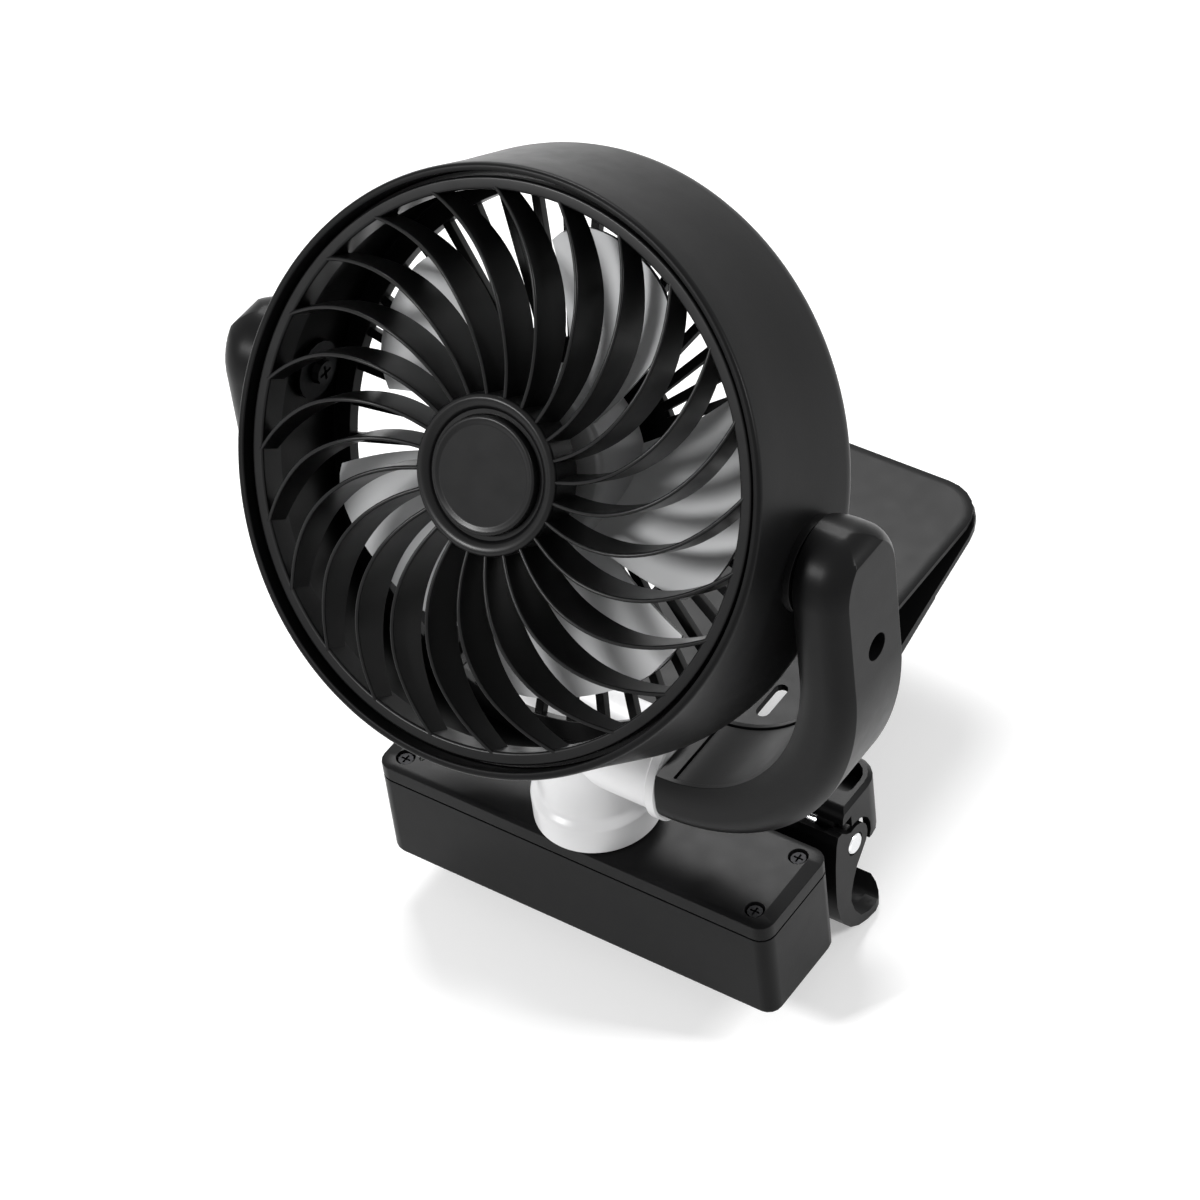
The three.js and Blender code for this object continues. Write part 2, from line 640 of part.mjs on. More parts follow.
function headShell() {
  const inner = (z) => LIP_IN + HEAD_FLARE * 0.45 * (HEAD_FRONT - z) / (HEAD_FRONT - HEAD_BACK);
  let shell = turned([
    [LIP_IN, HEAD_FRONT],
    [HEAD_LIP - 0.8, HEAD_FRONT],
    [HEAD_LIP, HEAD_FRONT - 1],
    [HEAD_LIP + HEAD_FLARE * 0.3, HEAD_FRONT - 18],
    [BACK_OUT - 0.6, HEAD_FRONT - 30],
    [BACK_OUT, HEAD_BACK + 5],
    [BACK_OUT - 1.2, HEAD_BACK + 1.6],
    [BACK_OUT - 4, HEAD_BACK],
    [REAR_OUT + 2 * RUN, HEAD_BACK],
    [REAR_OUT + 2 * RUN, HEAD_BACK + 2],
    [inner(HEAD_BACK + 2), HEAD_BACK + 2],
    [inner(GRILLE_BACK - 2.6), GRILLE_BACK - 2.6],
    [GRILLE_OUT - 0.7, GRILLE_BACK - SEAT],
    [LIP_IN, GRILLE_BACK - SEAT],
  ]);
  for (const side of [-1, 1]) {
    const collar = rod("x", COLLAR, BOSS_IN, COLLAR_X, [0, 0], MEDIUM);
    const bore = rod("x", PIVOT_STUB + RUN, BOSS_IN - 3, COLLAR_X + 1, [0, 0]);
    const turn = side < 0 ? [0, 180, 0] : [0, 0, 0];
    shell = shell.add(collar.rotate(turn)).subtract(bore.rotate(turn));
  }
  return shell;
}

// Along a vane from its root: share of its run, angle in degrees that it has swept, and how far its
// front edge stands ahead of the grille's rim.
const VANE_LINE = [
  [0, 0, 3.4],
  [0.16, 1.7, 4.8],
  [0.33, 5.3, 6],
  [0.5, 10.3, 6.2],
  [0.67, 16.3, 5],
  [0.84, 23.7, 2.6],
  [1, 31.4, -0.2],
];
const VANE_ROOT = HUBRING - 2;
const VANE_RUN = GRILLE_IN + 1.6 - VANE_ROOT;
const VANE_START = 238.3; // degrees round the axis of the first root

function vane(number) {
  const start = VANE_START + (360 / VANES) * number;
  const rings = VANE_LINE.map(([share, swept, rise], i) => {
    const radius = VANE_ROOT + VANE_RUN * share;
    const front = GRILLE_FACE + rise;
    const before = VANE_LINE[Math.max(i - 1, 0)];
    const after = VANE_LINE[Math.min(i + 1, VANE_LINE.length - 1)];
    const slope = ((after[1] - before[1]) * DEG) / ((after[0] - before[0]) * VANE_RUN);
    const angle = (start + swept) * DEG;
    const place = new THREE.Vector3(radius * Math.cos(angle), radius * Math.sin(angle), 0);
    const lean = Math.atan(radius * slope) + angle;
    const across = new THREE.Vector3(-Math.sin(lean), Math.cos(lean), 0);
    const corner = (side, height, thick) => place.clone()
      .addScaledVector(across, (side * thick) / 2).setZ(height);
    return [
      corner(-1, VANE_BACK, VANE_BACK_THICK),
      corner(1, VANE_BACK, VANE_BACK_THICK),
      corner(1, front, VANE_FRONT_THICK),
      corner(-1, front, VANE_FRONT_THICK),
    ];
  });
  return loft(rings);
}

function frontGrille() {
  let grille = turned([
    [GRILLE_IN, GRILLE_BACK],
    [LIP_IN - RUN, GRILLE_BACK],
    [LIP_IN - RUN, GRILLE_BACK + 4],
    [GRILLE_OUT, GRILLE_BACK + 4],
    [GRILLE_OUT, GRILLE_FACE],
    [GRILLE_IN + 0.6, GRILLE_FACE],
    [GRILLE_IN, GRILLE_FACE - 0.6],
  ]);
  grille = grille.add(turned([
    [0, VANE_BACK],
    [HUBRING, VANE_BACK],
    [HUBRING, HUBRING_FACE - 1.4],
    [HUBRING - 1.4, HUBRING_FACE],
    [HUBRING - 3, HUBRING_FACE - 0.2],
    [CAP + 1.4, HUBRING_FACE - 1.6],
    [CAP + RUN, HUBRING_FACE - 1.6],
    [CAP + RUN, HUBRING_FACE - 3],
    [0, HUBRING_FACE - 3],
  ], MEDIUM));
  for (let number = 0; number < VANES; number++) grille = grille.add(vane(number));
  return grille;
}

function hubCap() {
  const back = HUBRING_FACE - 3 + SEAT;
  return turned([
    [0, back],
    [CAP, back],
    [CAP, CAP_FACE - 0.8],
    [CAP - 0.9, CAP_FACE],
    [CAP - 1.8, CAP_FACE - 0.3],
    [0, CAP_FACE - 0.3],
  ], MEDIUM);
}

function rearGrille() {
  const back = HEAD_BACK + 0.2;
  const deep = 3;
  let grille = turned([
    [GRILLE_IN - 1, back],
    [REAR_OUT, back],
    [REAR_OUT, HEAD_BACK + 2 + SEAT],
    [REAR_OUT + 2, HEAD_BACK + 2 + SEAT],
    [REAR_OUT + 2, HEAD_BACK + 4.2],
    [GRILLE_IN - 1, HEAD_BACK + 4.2],
  ], SLATS);
  grille = grille.add(turned([
    [0, back],
    [REAR_DISC, back],
    [REAR_DISC, back + 2.4],
    [MOTOR + RUN + 2, back + 2.4],
    [MOTOR + RUN + 2, back + 9],
    [MOTOR + RUN, back + 9],
    [MOTOR + RUN, back + 2.4],
    [0, back + 2.4],
  ], SLATS));
  for (let number = 0; number < SLATS; number++) {
    const half = SLAT_WIDTH / 2;
    const slat = box(REAR_DISC - 1, GRILLE_IN, -half, half, back + 0.2, back + deep);
    grille = grille.add(slat.rotate([0, 0, (360 / SLATS) * (number + 0.5)]));
  }
  return grille.rotate([0, 0, SLAT_START]);
}

function motorCan() {
  const back = HEAD_BACK + 0.2 + 2.4 + SEAT;
  const can = turned([
    [0, back],
    [MOTOR, back],
    [MOTOR, MOTOR_FRONT - 1],
    [MOTOR - 1, MOTOR_FRONT],
    [5, MOTOR_FRONT],
    [5, MOTOR_FRONT + 1.4],
    [0, MOTOR_FRONT + 1.4],
  ], ROUND);
  return can.subtract(rod("z", SHAFT + RUN, MOTOR_FRONT - 5, MOTOR_FRONT + 3, [0, 0], SMALL));
}

function motorShaft() {
  return rod("z", SHAFT, MOTOR_FRONT - 4.7, NUT_FRONT - 0.4, [0, 0], SMALL);
}

const NUT_FRONT = IMPELLER_FACE + SEAT + 3.2;

function blade(number) {
  const rings = [];
  for (const share of [0, 0.35, 0.7, 1]) {
    const front = [];
    const back = [];
    for (let i = 0; i <= 4; i++) {
      const chord = i / 4;
      const side = 2 * chord - 1;
      const tip = BLADE_TIP - 5 * side ** 4;
      const radius = BLADE_HUB - 1 + (tip - BLADE_HUB + 1) * share;
      const angle = (BLADE_SWEEP * (chord - 0.5) + 9 * share + (360 / BLADES) * number) * DEG;
      const height = BLADE_REAR + (BLADE_FRONT - BLADE_REAR) * (1 - chord) ** 1.25;
      const thick = (BLADE_THICK / 2) * (1 - 0.45 * side ** 2);
      const [x, y] = [radius * Math.cos(angle), radius * Math.sin(angle)];
      front.push(new THREE.Vector3(x, y, height + thick));
      back.unshift(new THREE.Vector3(x, y, height - thick));
    }
    rings.push([...front, ...back]);
  }
  return loft(rings);
}

function impeller() {
  let wheel = turned([
    [0, IMPELLER_FACE - 8],
    [4, IMPELLER_FACE - 8],
    [4, IMPELLER_FACE - 2],
    [BLADE_HUB - 2, IMPELLER_FACE - 2],
    [BLADE_HUB - 2, BLADE_REAR],
    [BLADE_HUB, BLADE_REAR],
    [BLADE_HUB, IMPELLER_FACE - 2],
    [BLADE_HUB - 2, IMPELLER_FACE],
    [0, IMPELLER_FACE],
  ], MEDIUM);
  for (let number = 0; number < BLADES; number++) wheel = wheel.add(blade(number));
  const inside = rod("z", BLADE_HUB - 2, BLADE_REAR - 2, IMPELLER_FACE - 2, [0, 0], MEDIUM);
  const boss = rod("z", 4, IMPELLER_FACE - 8, IMPELLER_FACE, [0, 0]);
  wheel = wheel.subtract(inside).add(boss);
  return wheel.subtract(rod("z", SHAFT + RUN, 0, IMPELLER_FACE + 1, [0, 0], SMALL));
}

function impellerNut() {
  const nut = rod("z", 3.2, IMPELLER_FACE + SEAT, NUT_FRONT, [0, 0], 6);
  return nut.subtract(rod("z", SHAFT + RUN, IMPELLER_FACE, NUT_FRONT + 1, [0, 0], SMALL));
}

// ---------- Clip ----------

// The plan of the housing round the hinge, drawn in by an inset.
function housingPlan(inset) {
  const x = CLIP_HALF - CLIP_CORNER;
  const y = CLIP_BACK - CLIP_CORNER;
  return [
    [-CLIP_HALF + inset, CLIP_FRONT + inset],
    [CLIP_HALF - inset, CLIP_FRONT + inset],
    ...arc(x, y, CLIP_CORNER - inset, 0, 90, 5),
    ...arc(-x, y, CLIP_CORNER - inset, 90, 180, 5),
  ];
}

// The plan of the plate with its fillets into the housing.
function platePlan() {
  const fillet = 6;
  const x = JAW_HALF - JAW_CORNER;
  const y = JAW_TIP - JAW_CORNER;
  return [
    [-JAW_HALF - fillet, CLIP_BACK - 12],
    [JAW_HALF + fillet, CLIP_BACK - 12],
    ...arc(JAW_HALF + fillet, CLIP_BACK + fillet, fillet, 270, 180, 4),
    ...arc(x, y, JAW_CORNER, 0, 90, 6),
    ...arc(-x, y, JAW_CORNER, 90, 180, 6),
    ...arc(-JAW_HALF - fillet, CLIP_BACK + fillet, fillet, 0, -90, 4),
  ];
}

function bevelledPlate() {
  const drop = 0.9;
  const slope = 3.2;
  const deep = 6;
  const outline = new THREE.Shape(platePlan().map(([x, y]) => new THREE.Vector2(x, y)));
  const shape = new THREE.ExtrudeGeometry(outline, {
    depth: deep,
    bevelEnabled: true,
    bevelThickness: drop,
    bevelSize: slope,
    bevelOffset: -slope,
    bevelSegments: 1,
  });
  shape.translate(0, 0, CLIP_TOP - deep - drop);
  const room = CLIP_HALF + 40;
  return solid(shape).intersect(box(-room, room, 0, JAW_TIP + 20, JAW_UNDER, CLIP_TOP + 1));
}

function slot(x, y0, y1, half, z0, z1) {
  const outline = [...arc(x, y1, half, 0, 180, 6), ...arc(x, y0, half, 180, 360, 6)];
  return prism(outline, z0, z1, "xy");
}

// The rounded opening over one end of the hinge, on the side given.
function hingeWindow(side) {
  const near = CLIP_HALF - 21;
  const far = CLIP_HALF - CLIP_WALL;
  const front = PIN_Y + 2.4;
  const back = CLIP_BACK - CLIP_WALL;
  const round = CLIP_CORNER - CLIP_WALL;
  const outline = [
    [near, front],
    ...arc(far - 2, front + 2, 2, 270, 360, 2),
    ...arc(far - round, back - round, round, 0, 90, 4),
    [near, back],
  ];
  const opening = prism(outline, CLIP_TOP - 8, CLIP_TOP + 1, "xy");
  return side > 0 ? opening : opening.mirror([1, 0, 0]);
}

// The outline of a lug that carries the pin, webbed to the housing's back wall.
function lugOutline() {
  const top = JAW_UNDER + 0.5;
  return [
    [PIN_Y - 1.5, top],
    [PIN_Y - 1.5, PIN_Z + 7.9],
    ...arc(PIN_Y, PIN_Z, 6.4, 144, 300, 9),
    [PIN_Y + 9.7, PIN_Z - 2.6],
    [CLIP_BACK - 2, PIN_Z + 4.4],
    [CLIP_BACK - 2, PIN_Z + 9.4],
    [PIN_Y + 4, PIN_Z + 9.4],
    [PIN_Y + 2.2, top],
  ];
}

function upperJaw() {
  const skirtLow = PIN_Z - 4.1;
  const inner = CLIP_HALF - CLIP_WALL;
  const back = CLIP_BACK - CLIP_WALL;
  let jaw = loft([
    ringAt(housingPlan(0), skirtLow),
    ringAt(housingPlan(0), CLIP_TOP - CLIP_EDGE),
    ringAt(housingPlan(CLIP_EDGE), CLIP_TOP),
  ]);
  jaw = jaw.subtract(box(-inner, inner, CLIP_FRONT + CLIP_WALL, back, 0, JAW_UNDER));
  jaw = jaw.subtract(box(-LUG_IN + 1, LUG_IN - 1, back - 2, CLIP_BACK + 5, 0, PIN_Z + 5.4));
  jaw = jaw.subtract(box(-CLIP_HALF - 9, CLIP_HALF + 9, 0, CLIP_FRONT + 4.2, 0, CLIP_TOP - 4.5));
  const edge = CLIP_TOP - 3.6;
  const arch = [
    [CLIP_FRONT - 8, edge],
    ...arc(CLIP_FRONT + 3.7, edge, 3.7, 180, 90, 4),
    [CLIP_FRONT + 3.7, edge + 10],
    [CLIP_FRONT - 8, edge + 10],
  ];
  jaw = jaw.add(bevelledPlate()).subtract(prism(arch, -CLIP_HALF - 9, CLIP_HALF + 9, "yz"));
  for (const side of [-1, 1]) {
    const ends = (a, b) => (side > 0 ? [a, b] : [-b, -a]);
    const [cut0, cut1] = ends(LUG_OUT - 0.5, CLIP_HALF + 2);
    jaw = jaw.subtract(rod("x", 8, cut0, cut1, [PIN_Y, PIN_Z]));
    jaw = jaw.subtract(hingeWindow(side));
    const [lug0, lug1] = ends(LUG_IN, LUG_OUT);
    jaw = jaw.add(prism(lugOutline(), lug0, lug1, "yz"));
    const cut = side * (JAW_HALF - 11.1);
    jaw = jaw.subtract(slot(cut, CLIP_BACK + 1, CLIP_BACK + 10.4, 2, JAW_UNDER - 1, CLIP_TOP + 1));
  }
  const flangeFront = HALF_WIDTH + SEAT;
  const flangeBack = flangeFront + 2.8;
  const shelf = CLIP_TOP - 7.8;
  const joint = CLIP_TOP - 4.4;
  const b = BRACKET_HALF;
  jaw = jaw.add(box(-b, b, CLIP_FRONT, CLIP_FRONT + CLIP_WALL, shelf, JAW_UNDER));
  jaw = jaw.add(box(-b, b, flangeFront, CLIP_FRONT + CLIP_WALL, shelf, joint));
  jaw = jaw.add(box(-b, b, flangeFront, flangeBack, PIN_Z - 7.1, joint));
  for (const side of [-1, 1]) {
    const at = [side * BRACKET_SCREW_X, BRACKET_SCREW_Z];
    jaw = jaw.subtract(rod("y", 1.4, HALF_WIDTH - 1, flangeBack + 1, at, SMALL));
    jaw = jaw.subtract(rod("y", 3.3, flangeBack - 1.6, flangeBack + 1, at, 16));
  }
  return jaw.subtract(rod("x", PIN + RUN, -CLIP_HALF, CLIP_HALF, [PIN_Y, PIN_Z], 24));
}

function bracketScrew(side) {
  const face = HALF_WIDTH + SEAT + 2.8 - 1.6 + SEAT + 1.2;
  return screw(3, 1.2, 1.1, 8).rotate([-90, 0, 0])
    .translate([side * BRACKET_SCREW_X, face, BRACKET_SCREW_Z]);
}

// Outer line of the finger lever, top to tip, as [y, z] from the pin.
const LEVER_OUT = fromPin([
  [-7.7, 9.6],
  [-8.8, 7],
  [-10, 0],
  [-10.8, -8.9],
  [-10.9, -15.4],
  [-9.9, -21.2],
  [-8.3, -24.9],
  [-5.4, -28.9],
  [-1.5, -31.9],
  [2.9, -33.7],
  [7, -34.5],
  [11.5, -33.8],
  [15.7, -31.5],
]);

// The edge of the lever's cheeks, from its tip back round the pin.
const CHEEK_EDGE = fromPin([
  [9.3, -32.8],
  [8.9, -31.6],
  [3.9, -31.2],
  [0, -29.1],
  [-2.8, -24.4],
  [-4.1, -19.4],
  [-3.6, -16],
  [-1.9, -11.9],
  [0.1, -8.6],
  [2.9, -5.8],
  ...arc(0, 0, 6.2, -33, 105, 9),
  [-3.9, 7.5],
  [-5.7, 9.5],
]);

function fromPin(line) {
  return line.map(([y, z]) => [PIN_Y + y, PIN_Z + z]);
}

// The closed outline of a line given a thickness on its left side.
function thicken(line, thick) {
  const inner = line.map(([y, z], i) => {
    const [ya, za] = line[Math.max(i - 1, 0)];
    const [yb, zb] = line[Math.min(i + 1, line.length - 1)];
    const length = Math.hypot(yb - ya, zb - za);
    return [y - ((zb - za) / length) * thick, z + ((yb - ya) / length) * thick];
  });
  return [...line, ...inner.reverse()];
}

function lowerLine(y) {
  return LOWER_FOOT_Z + LOWER_RISE * y;
}

// The lower plate in side view: it climbs to the knee and ends level under the upper plate.
function lowerSheet(from) {
  const level = lowerLine(LOWER_KNEE);
  return [
    [from, lowerLine(from)],
    [LOWER_KNEE, level],
    [LOWER_TIP, level],
    [LOWER_TIP, level + LOWER_THICK],
    [LOWER_KNEE, level + LOWER_THICK],
    [from, lowerLine(from) + LOWER_THICK],
  ];
}

// The lever seen along Z: straight sides and two broad elliptic corners at the tip.
function leverPlan() {
  const low = 8.5;
  const wide = 12;
  const shoulder = PIN_Y + 7.2;
  const corner = (x, from) => Array.from({ length: 7 }, (_, i) => {
    const angle = (from + 15 * i) * DEG;
    return [x + wide * Math.cos(angle), shoulder + low * Math.sin(angle)];
  });
  return [
    [-CLIP_HALF, 10],
    [CLIP_HALF, 10],
    ...corner(CLIP_HALF - wide, 0),
    ...corner(-CLIP_HALF + wide, 90),
  ];
}

function lowerJaw() {
  let jaw = prism(thicken(LEVER_OUT, LEVER_WALL), -CLIP_HALF, CLIP_HALF, "yz");
  const cheek = [...LEVER_OUT.slice(0, 11), ...CHEEK_EDGE];
  for (const [a, b] of [[-CLIP_HALF, -CHEEK_IN], [CHEEK_IN, CLIP_HALF]]) {
    jaw = jaw.add(prism(cheek, a, b, "yz"));
  }
  jaw = jaw.intersect(prism(leverPlan(), PIN_Z - 60, PIN_Z + 40, "xy"));
  const root = PIN_Y - 9.3;
  const x = LOWER_HALF - JAW_CORNER;
  const y = LOWER_TIP - JAW_CORNER;
  const plan = [
    [-LOWER_HALF, 10],
    [LOWER_HALF, 10],
    ...arc(x, y, JAW_CORNER, 0, 90, 6),
    ...arc(-x, y, JAW_CORNER, 90, 180, 6),
  ];
  let plate = prism(lowerSheet(root), -LOWER_HALF, LOWER_HALF, "yz");
  const [ribBack, ribEnd] = [PIN_Y + 7.7, JAW_TIP - 34];
  const rib = [
    [root, lowerLine(root) - 3],
    [ribBack, lowerLine(ribBack) - 3],
    [ribEnd, lowerLine(ribEnd) - 0.5],
    [ribEnd, lowerLine(ribEnd) + 1],
    [root, lowerLine(root) + 1],
  ];
  for (const [a, b] of [[-LOWER_HALF, -LOWER_HALF + 2], [LOWER_HALF - 2, LOWER_HALF]]) {
    plate = plate.add(prism(rib, a, b, "yz"));
  }
  plate = plate.intersect(prism(plan, PIN_Z - 60, JAW_UNDER - SEAT, "xy"));
  const open = LOWER_HALF * 0.268;
  for (const side of [-1, 1]) {
    const at = side * LOWER_HALF * 0.446;
    plate = plate.subtract(slot(at, PIN_Y + 23.7, JAW_TIP - 64, open, PIN_Z - 60, PIN_Z + 40));
  }
  jaw = jaw.add(plate);
  const room = BRACKET_HALF + 2;
  jaw = jaw.subtract(box(-room, room, 10, PIN_Y + 7.7, PIN_Z + 5.4, PIN_Z + 20));
  return jaw.subtract(rod("x", PIN + RUN, -CLIP_HALF - 1, CLIP_HALF + 1, [PIN_Y, PIN_Z], 24));
}

const PAD_FROM = JAW_TIP - 52;
const PAD_TO = JAW_TIP - 24;
const PAD_HALF = JAW_HALF - 8.6;
const PAD_THICK = 1.2;

function upperPad() {
  return box(-PAD_HALF, PAD_HALF, PAD_FROM, PAD_TO, JAW_UNDER - SEAT - PAD_THICK, JAW_UNDER - SEAT);
}

function lowerPad() {
  const low = LOWER_THICK + SEAT;
  const outline = [
    [PAD_FROM, lowerLine(PAD_FROM) + low],
    [PAD_TO, lowerLine(PAD_TO) + low],
    [PAD_TO, lowerLine(PAD_TO) + low + PAD_THICK],
    [PAD_FROM, lowerLine(PAD_FROM) + low + PAD_THICK],
  ];
  return prism(outline, -PAD_HALF, PAD_HALF, "yz");
}

function hingePin() {
  const half = CLIP_HALF + 0.3;
  return turned([
    [0, -half],
    [PIN - 0.5, -half],
    [PIN, -half + 0.5],
    [PIN, half - 0.5],
    [PIN - 0.5, half],
    [0, half],
  ], 24).rotate([0, 90, 0]).translate([0, PIN_Y, PIN_Z]);
}

// The spring's centre line: a straight leg, the coil round the pin and the other straight leg.
function springLine() {
  const from = 130;
  const to = 225 + 360 * SPRING_TURNS;
  const coilWidth = (SPRING_PITCH * (to - from)) / 360;
  const point = (degrees) => new THREE.Vector3(
    -coilWidth / 2 + (SPRING_PITCH * (degrees - from)) / 360,
    PIN_Y + SPRING_MEAN * Math.cos(degrees * DEG),
    PIN_Z + SPRING_MEAN * Math.sin(degrees * DEG),
  );
  const ahead = (degrees) => new THREE.Vector3(0, -Math.sin(degrees * DEG), Math.cos(degrees * DEG));
  const start = point(from);
  const end = point(to);
  const line = [13, 10, 3].map((s) => start.clone().addScaledVector(ahead(from), -s));
  const steps = Math.ceil(((to - from) / 360) * 8);
  for (let i = 0; i <= steps; i++) line.push(point(from + ((to - from) * i) / steps));
  return [...line, ...[3, 10, 13.4].map((s) => end.clone().addScaledVector(ahead(to), s))];
}

function jawSpring() {
  const line = springLine();
  const rings = line.map((point, i) => {
    const along = line[Math.min(i + 1, line.length - 1)].clone().sub(line[Math.max(i - 1, 0)]).normalize();
    const side = along.clone().cross(new THREE.Vector3(1, 0, 0)).normalize();
    const up = side.clone().cross(along);
    return Array.from({ length: 5 }, (_, j) => point.clone()
      .addScaledVector(side, SPRING_WIRE * Math.cos(j * 72 * DEG))
      .addScaledVector(up, SPRING_WIRE * Math.sin(j * 72 * DEG)));
  });
  return loft(rings);
}

// Least gap between two turns of the spring, measured between its centre-line points.
function springGap() {
  const line = springLine();
  let least = Infinity;
  for (let i = 0; i < line.length; i++) {
    for (let j = i + 5; j < line.length; j++) least = Math.min(least, line[i].distanceTo(line[j]));
  }
  return least - 2 * SPRING_WIRE;
}

// ---------- Materials ----------

function paint(colour, roughness, metalness = 0) {
  return new THREE.MeshStandardMaterial({ color: colour, roughness, metalness });
}

const black = () => paint(0x1c1c1d, 0.45);
const darkGrey = () => paint(0x2b2b2d, 0.55);
const white = () => paint(0xe9e9ea, 0.35);
const grey = () => paint(0x8e9092, 0.4);
const steel = () => paint(0xb9bcc0, 0.3, 1);
const zinc = () => paint(0x85878a, 0.4, 1);
const rubber = () => paint(0x161616, 0.9);
const green = () => paint(0x14532d, 0.6);
const blue = () => paint(0x2563a8, 0.45);
const lamp = () => paint(0xd8e6d8, 0.2);

// ---------- Assembly ----------

const fan = new THREE.Group();
fan.name = "clip_fan";
const head = new THREE.Group();
head.name = "head";
head.position.set(0, 0, PIVOT_Z);
head.rotation.x = (90 - HEAD_LEAN) * DEG;
fan.add(head);

function place(group, name, part, material) {
  const mesh = part.getMesh();
  const shape = new THREE.BufferGeometry();
  shape.setAttribute("position", new THREE.BufferAttribute(mesh.vertProperties, 3));
  shape.setIndex(new THREE.BufferAttribute(mesh.triVerts, 1));
  shape.computeVertexNormals();
  const piece = new THREE.Mesh(shape, material);
  piece.name = name;
  group.add(piece);
}

function placePair(name, part, material) {
  place(fan, name + "_right", part, material());
  place(fan, name + "_left", part.rotate([0, 0, 180]), material());
}

place(fan, "base_shell", baseShell(), black());
place(fan, "base_cover", baseCover(), black());
BOX_SCREWS.forEach((corner, i) => place(fan, "cover_screw_" + (i + 1), coverScrew(corner), zinc()));
place(fan, "led_lens", ledLens(), lamp());
place(fan, "battery_cell", batteryCell(), blue());
place(fan, "battery_holder", batteryHolder(), darkGrey());
place(fan, "circuit_board", circuitBoard(), green());
place(fan, "charging_inlet", chargingInlet(), zinc());
place(fan, "tact_switch", tactSwitch(), darkGrey());
place(fan, "power_button", powerButton(), darkGrey());

place(fan, "swivel_hub", swivelHub(), white());
place(fan, "swivel_washer", swivelWasher(), zinc());
place(fan, "swivel_screw", swivelScrew(), zinc());

place(fan, "cross_axle", crossAxle(), zinc());
placePair("yoke_arm", yokeArm(), black);
placePair("arm_cover", armCover(), black);
placePair("arm_screw", armScrew(), zinc);
placePair("pivot_washer", pivotWasher(), zinc);
placePair("pivot_screw", pivotScrew(), zinc);

place(head, "head_shell", headShell(), black());
place(head, "front_grille", frontGrille(), black());
place(head, "hub_cap", hubCap(), black());
place(head, "rear_grille", rearGrille(), black());
place(head, "motor_can", motorCan(), zinc());
place(head, "motor_shaft", motorShaft(), steel());
place(head, "impeller", impeller(), grey());
place(head, "impeller_nut", impellerNut(), zinc());

place(fan, "upper_jaw", upperJaw(), black());
place(fan, "upper_pad", upperPad(), rubber());
place(fan, "lower_jaw", lowerJaw(), black());
place(fan, "lower_pad", lowerPad(), rubber());
place(fan, "hinge_pin", hingePin(), steel());
place(fan, "jaw_spring", jawSpring(), steel());
place(fan, "bracket_screw_1", bracketScrew(-1), zinc());
place(fan, "bracket_screw_2", bracketScrew(1), zinc());

console.log("least gap between spring turns, mm:", springGap().toFixed(2));

export default fan;
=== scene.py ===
import json
import math

import bmesh
import bpy
from mathutils import Matrix, Vector

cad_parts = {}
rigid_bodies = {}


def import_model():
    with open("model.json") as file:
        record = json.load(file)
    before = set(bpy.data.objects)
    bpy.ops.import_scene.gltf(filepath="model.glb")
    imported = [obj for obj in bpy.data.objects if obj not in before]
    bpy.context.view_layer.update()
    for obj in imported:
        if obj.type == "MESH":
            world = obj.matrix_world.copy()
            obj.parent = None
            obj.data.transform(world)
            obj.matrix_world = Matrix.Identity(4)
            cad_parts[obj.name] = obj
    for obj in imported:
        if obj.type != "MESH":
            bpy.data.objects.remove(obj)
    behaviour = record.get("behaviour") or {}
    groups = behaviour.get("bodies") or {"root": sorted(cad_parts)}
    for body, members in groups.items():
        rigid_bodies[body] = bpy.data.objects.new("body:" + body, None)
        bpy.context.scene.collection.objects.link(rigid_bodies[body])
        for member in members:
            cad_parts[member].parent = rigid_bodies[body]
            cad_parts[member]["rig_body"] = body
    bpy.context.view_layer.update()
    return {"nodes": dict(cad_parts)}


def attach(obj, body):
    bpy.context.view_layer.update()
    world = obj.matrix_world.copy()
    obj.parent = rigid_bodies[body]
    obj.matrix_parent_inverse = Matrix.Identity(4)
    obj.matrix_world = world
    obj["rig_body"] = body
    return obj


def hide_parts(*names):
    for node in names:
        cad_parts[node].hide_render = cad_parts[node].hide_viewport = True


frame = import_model()
nodes = frame["nodes"]
MM = 0.001


# ---------- Camera, fitted to the photograph ----------

AZIMUTH, ELEVATION, ROLL = math.radians(39.478), math.radians(44.232), math.radians(-7.726)
DISTANCE, SHIFT_X, SHIFT_Y = 1245.96, 3.065, -81.0
FOCAL_PX, IMAGE_PX, SENSOR = 4500, 1200, 36


def make_camera():
    level = math.cos(ELEVATION)
    ahead = Vector((-math.sin(AZIMUTH) * level, math.cos(AZIMUTH) * level, -math.sin(ELEVATION)))
    side = Vector((math.cos(AZIMUTH), math.sin(AZIMUTH), 0))
    up = side.cross(ahead)
    right = side * math.cos(ROLL) + up * math.sin(ROLL)
    top = up * math.cos(ROLL) - side * math.sin(ROLL)
    data = bpy.data.cameras.new("camera")
    data.sensor_width = SENSOR
    data.lens = FOCAL_PX / IMAGE_PX * SENSOR
    data.clip_start = 0.05
    data.clip_end = 30
    camera = bpy.data.objects.new("camera", data)
    place = (-SHIFT_X * right - SHIFT_Y * top - DISTANCE * ahead) * MM
    turn = Matrix((right, top, -ahead)).transposed().to_4x4()
    camera.matrix_world = Matrix.Translation(place) @ turn
    bpy.context.scene.collection.objects.link(camera)
    bpy.context.scene.camera = camera


# ---------- Materials ----------

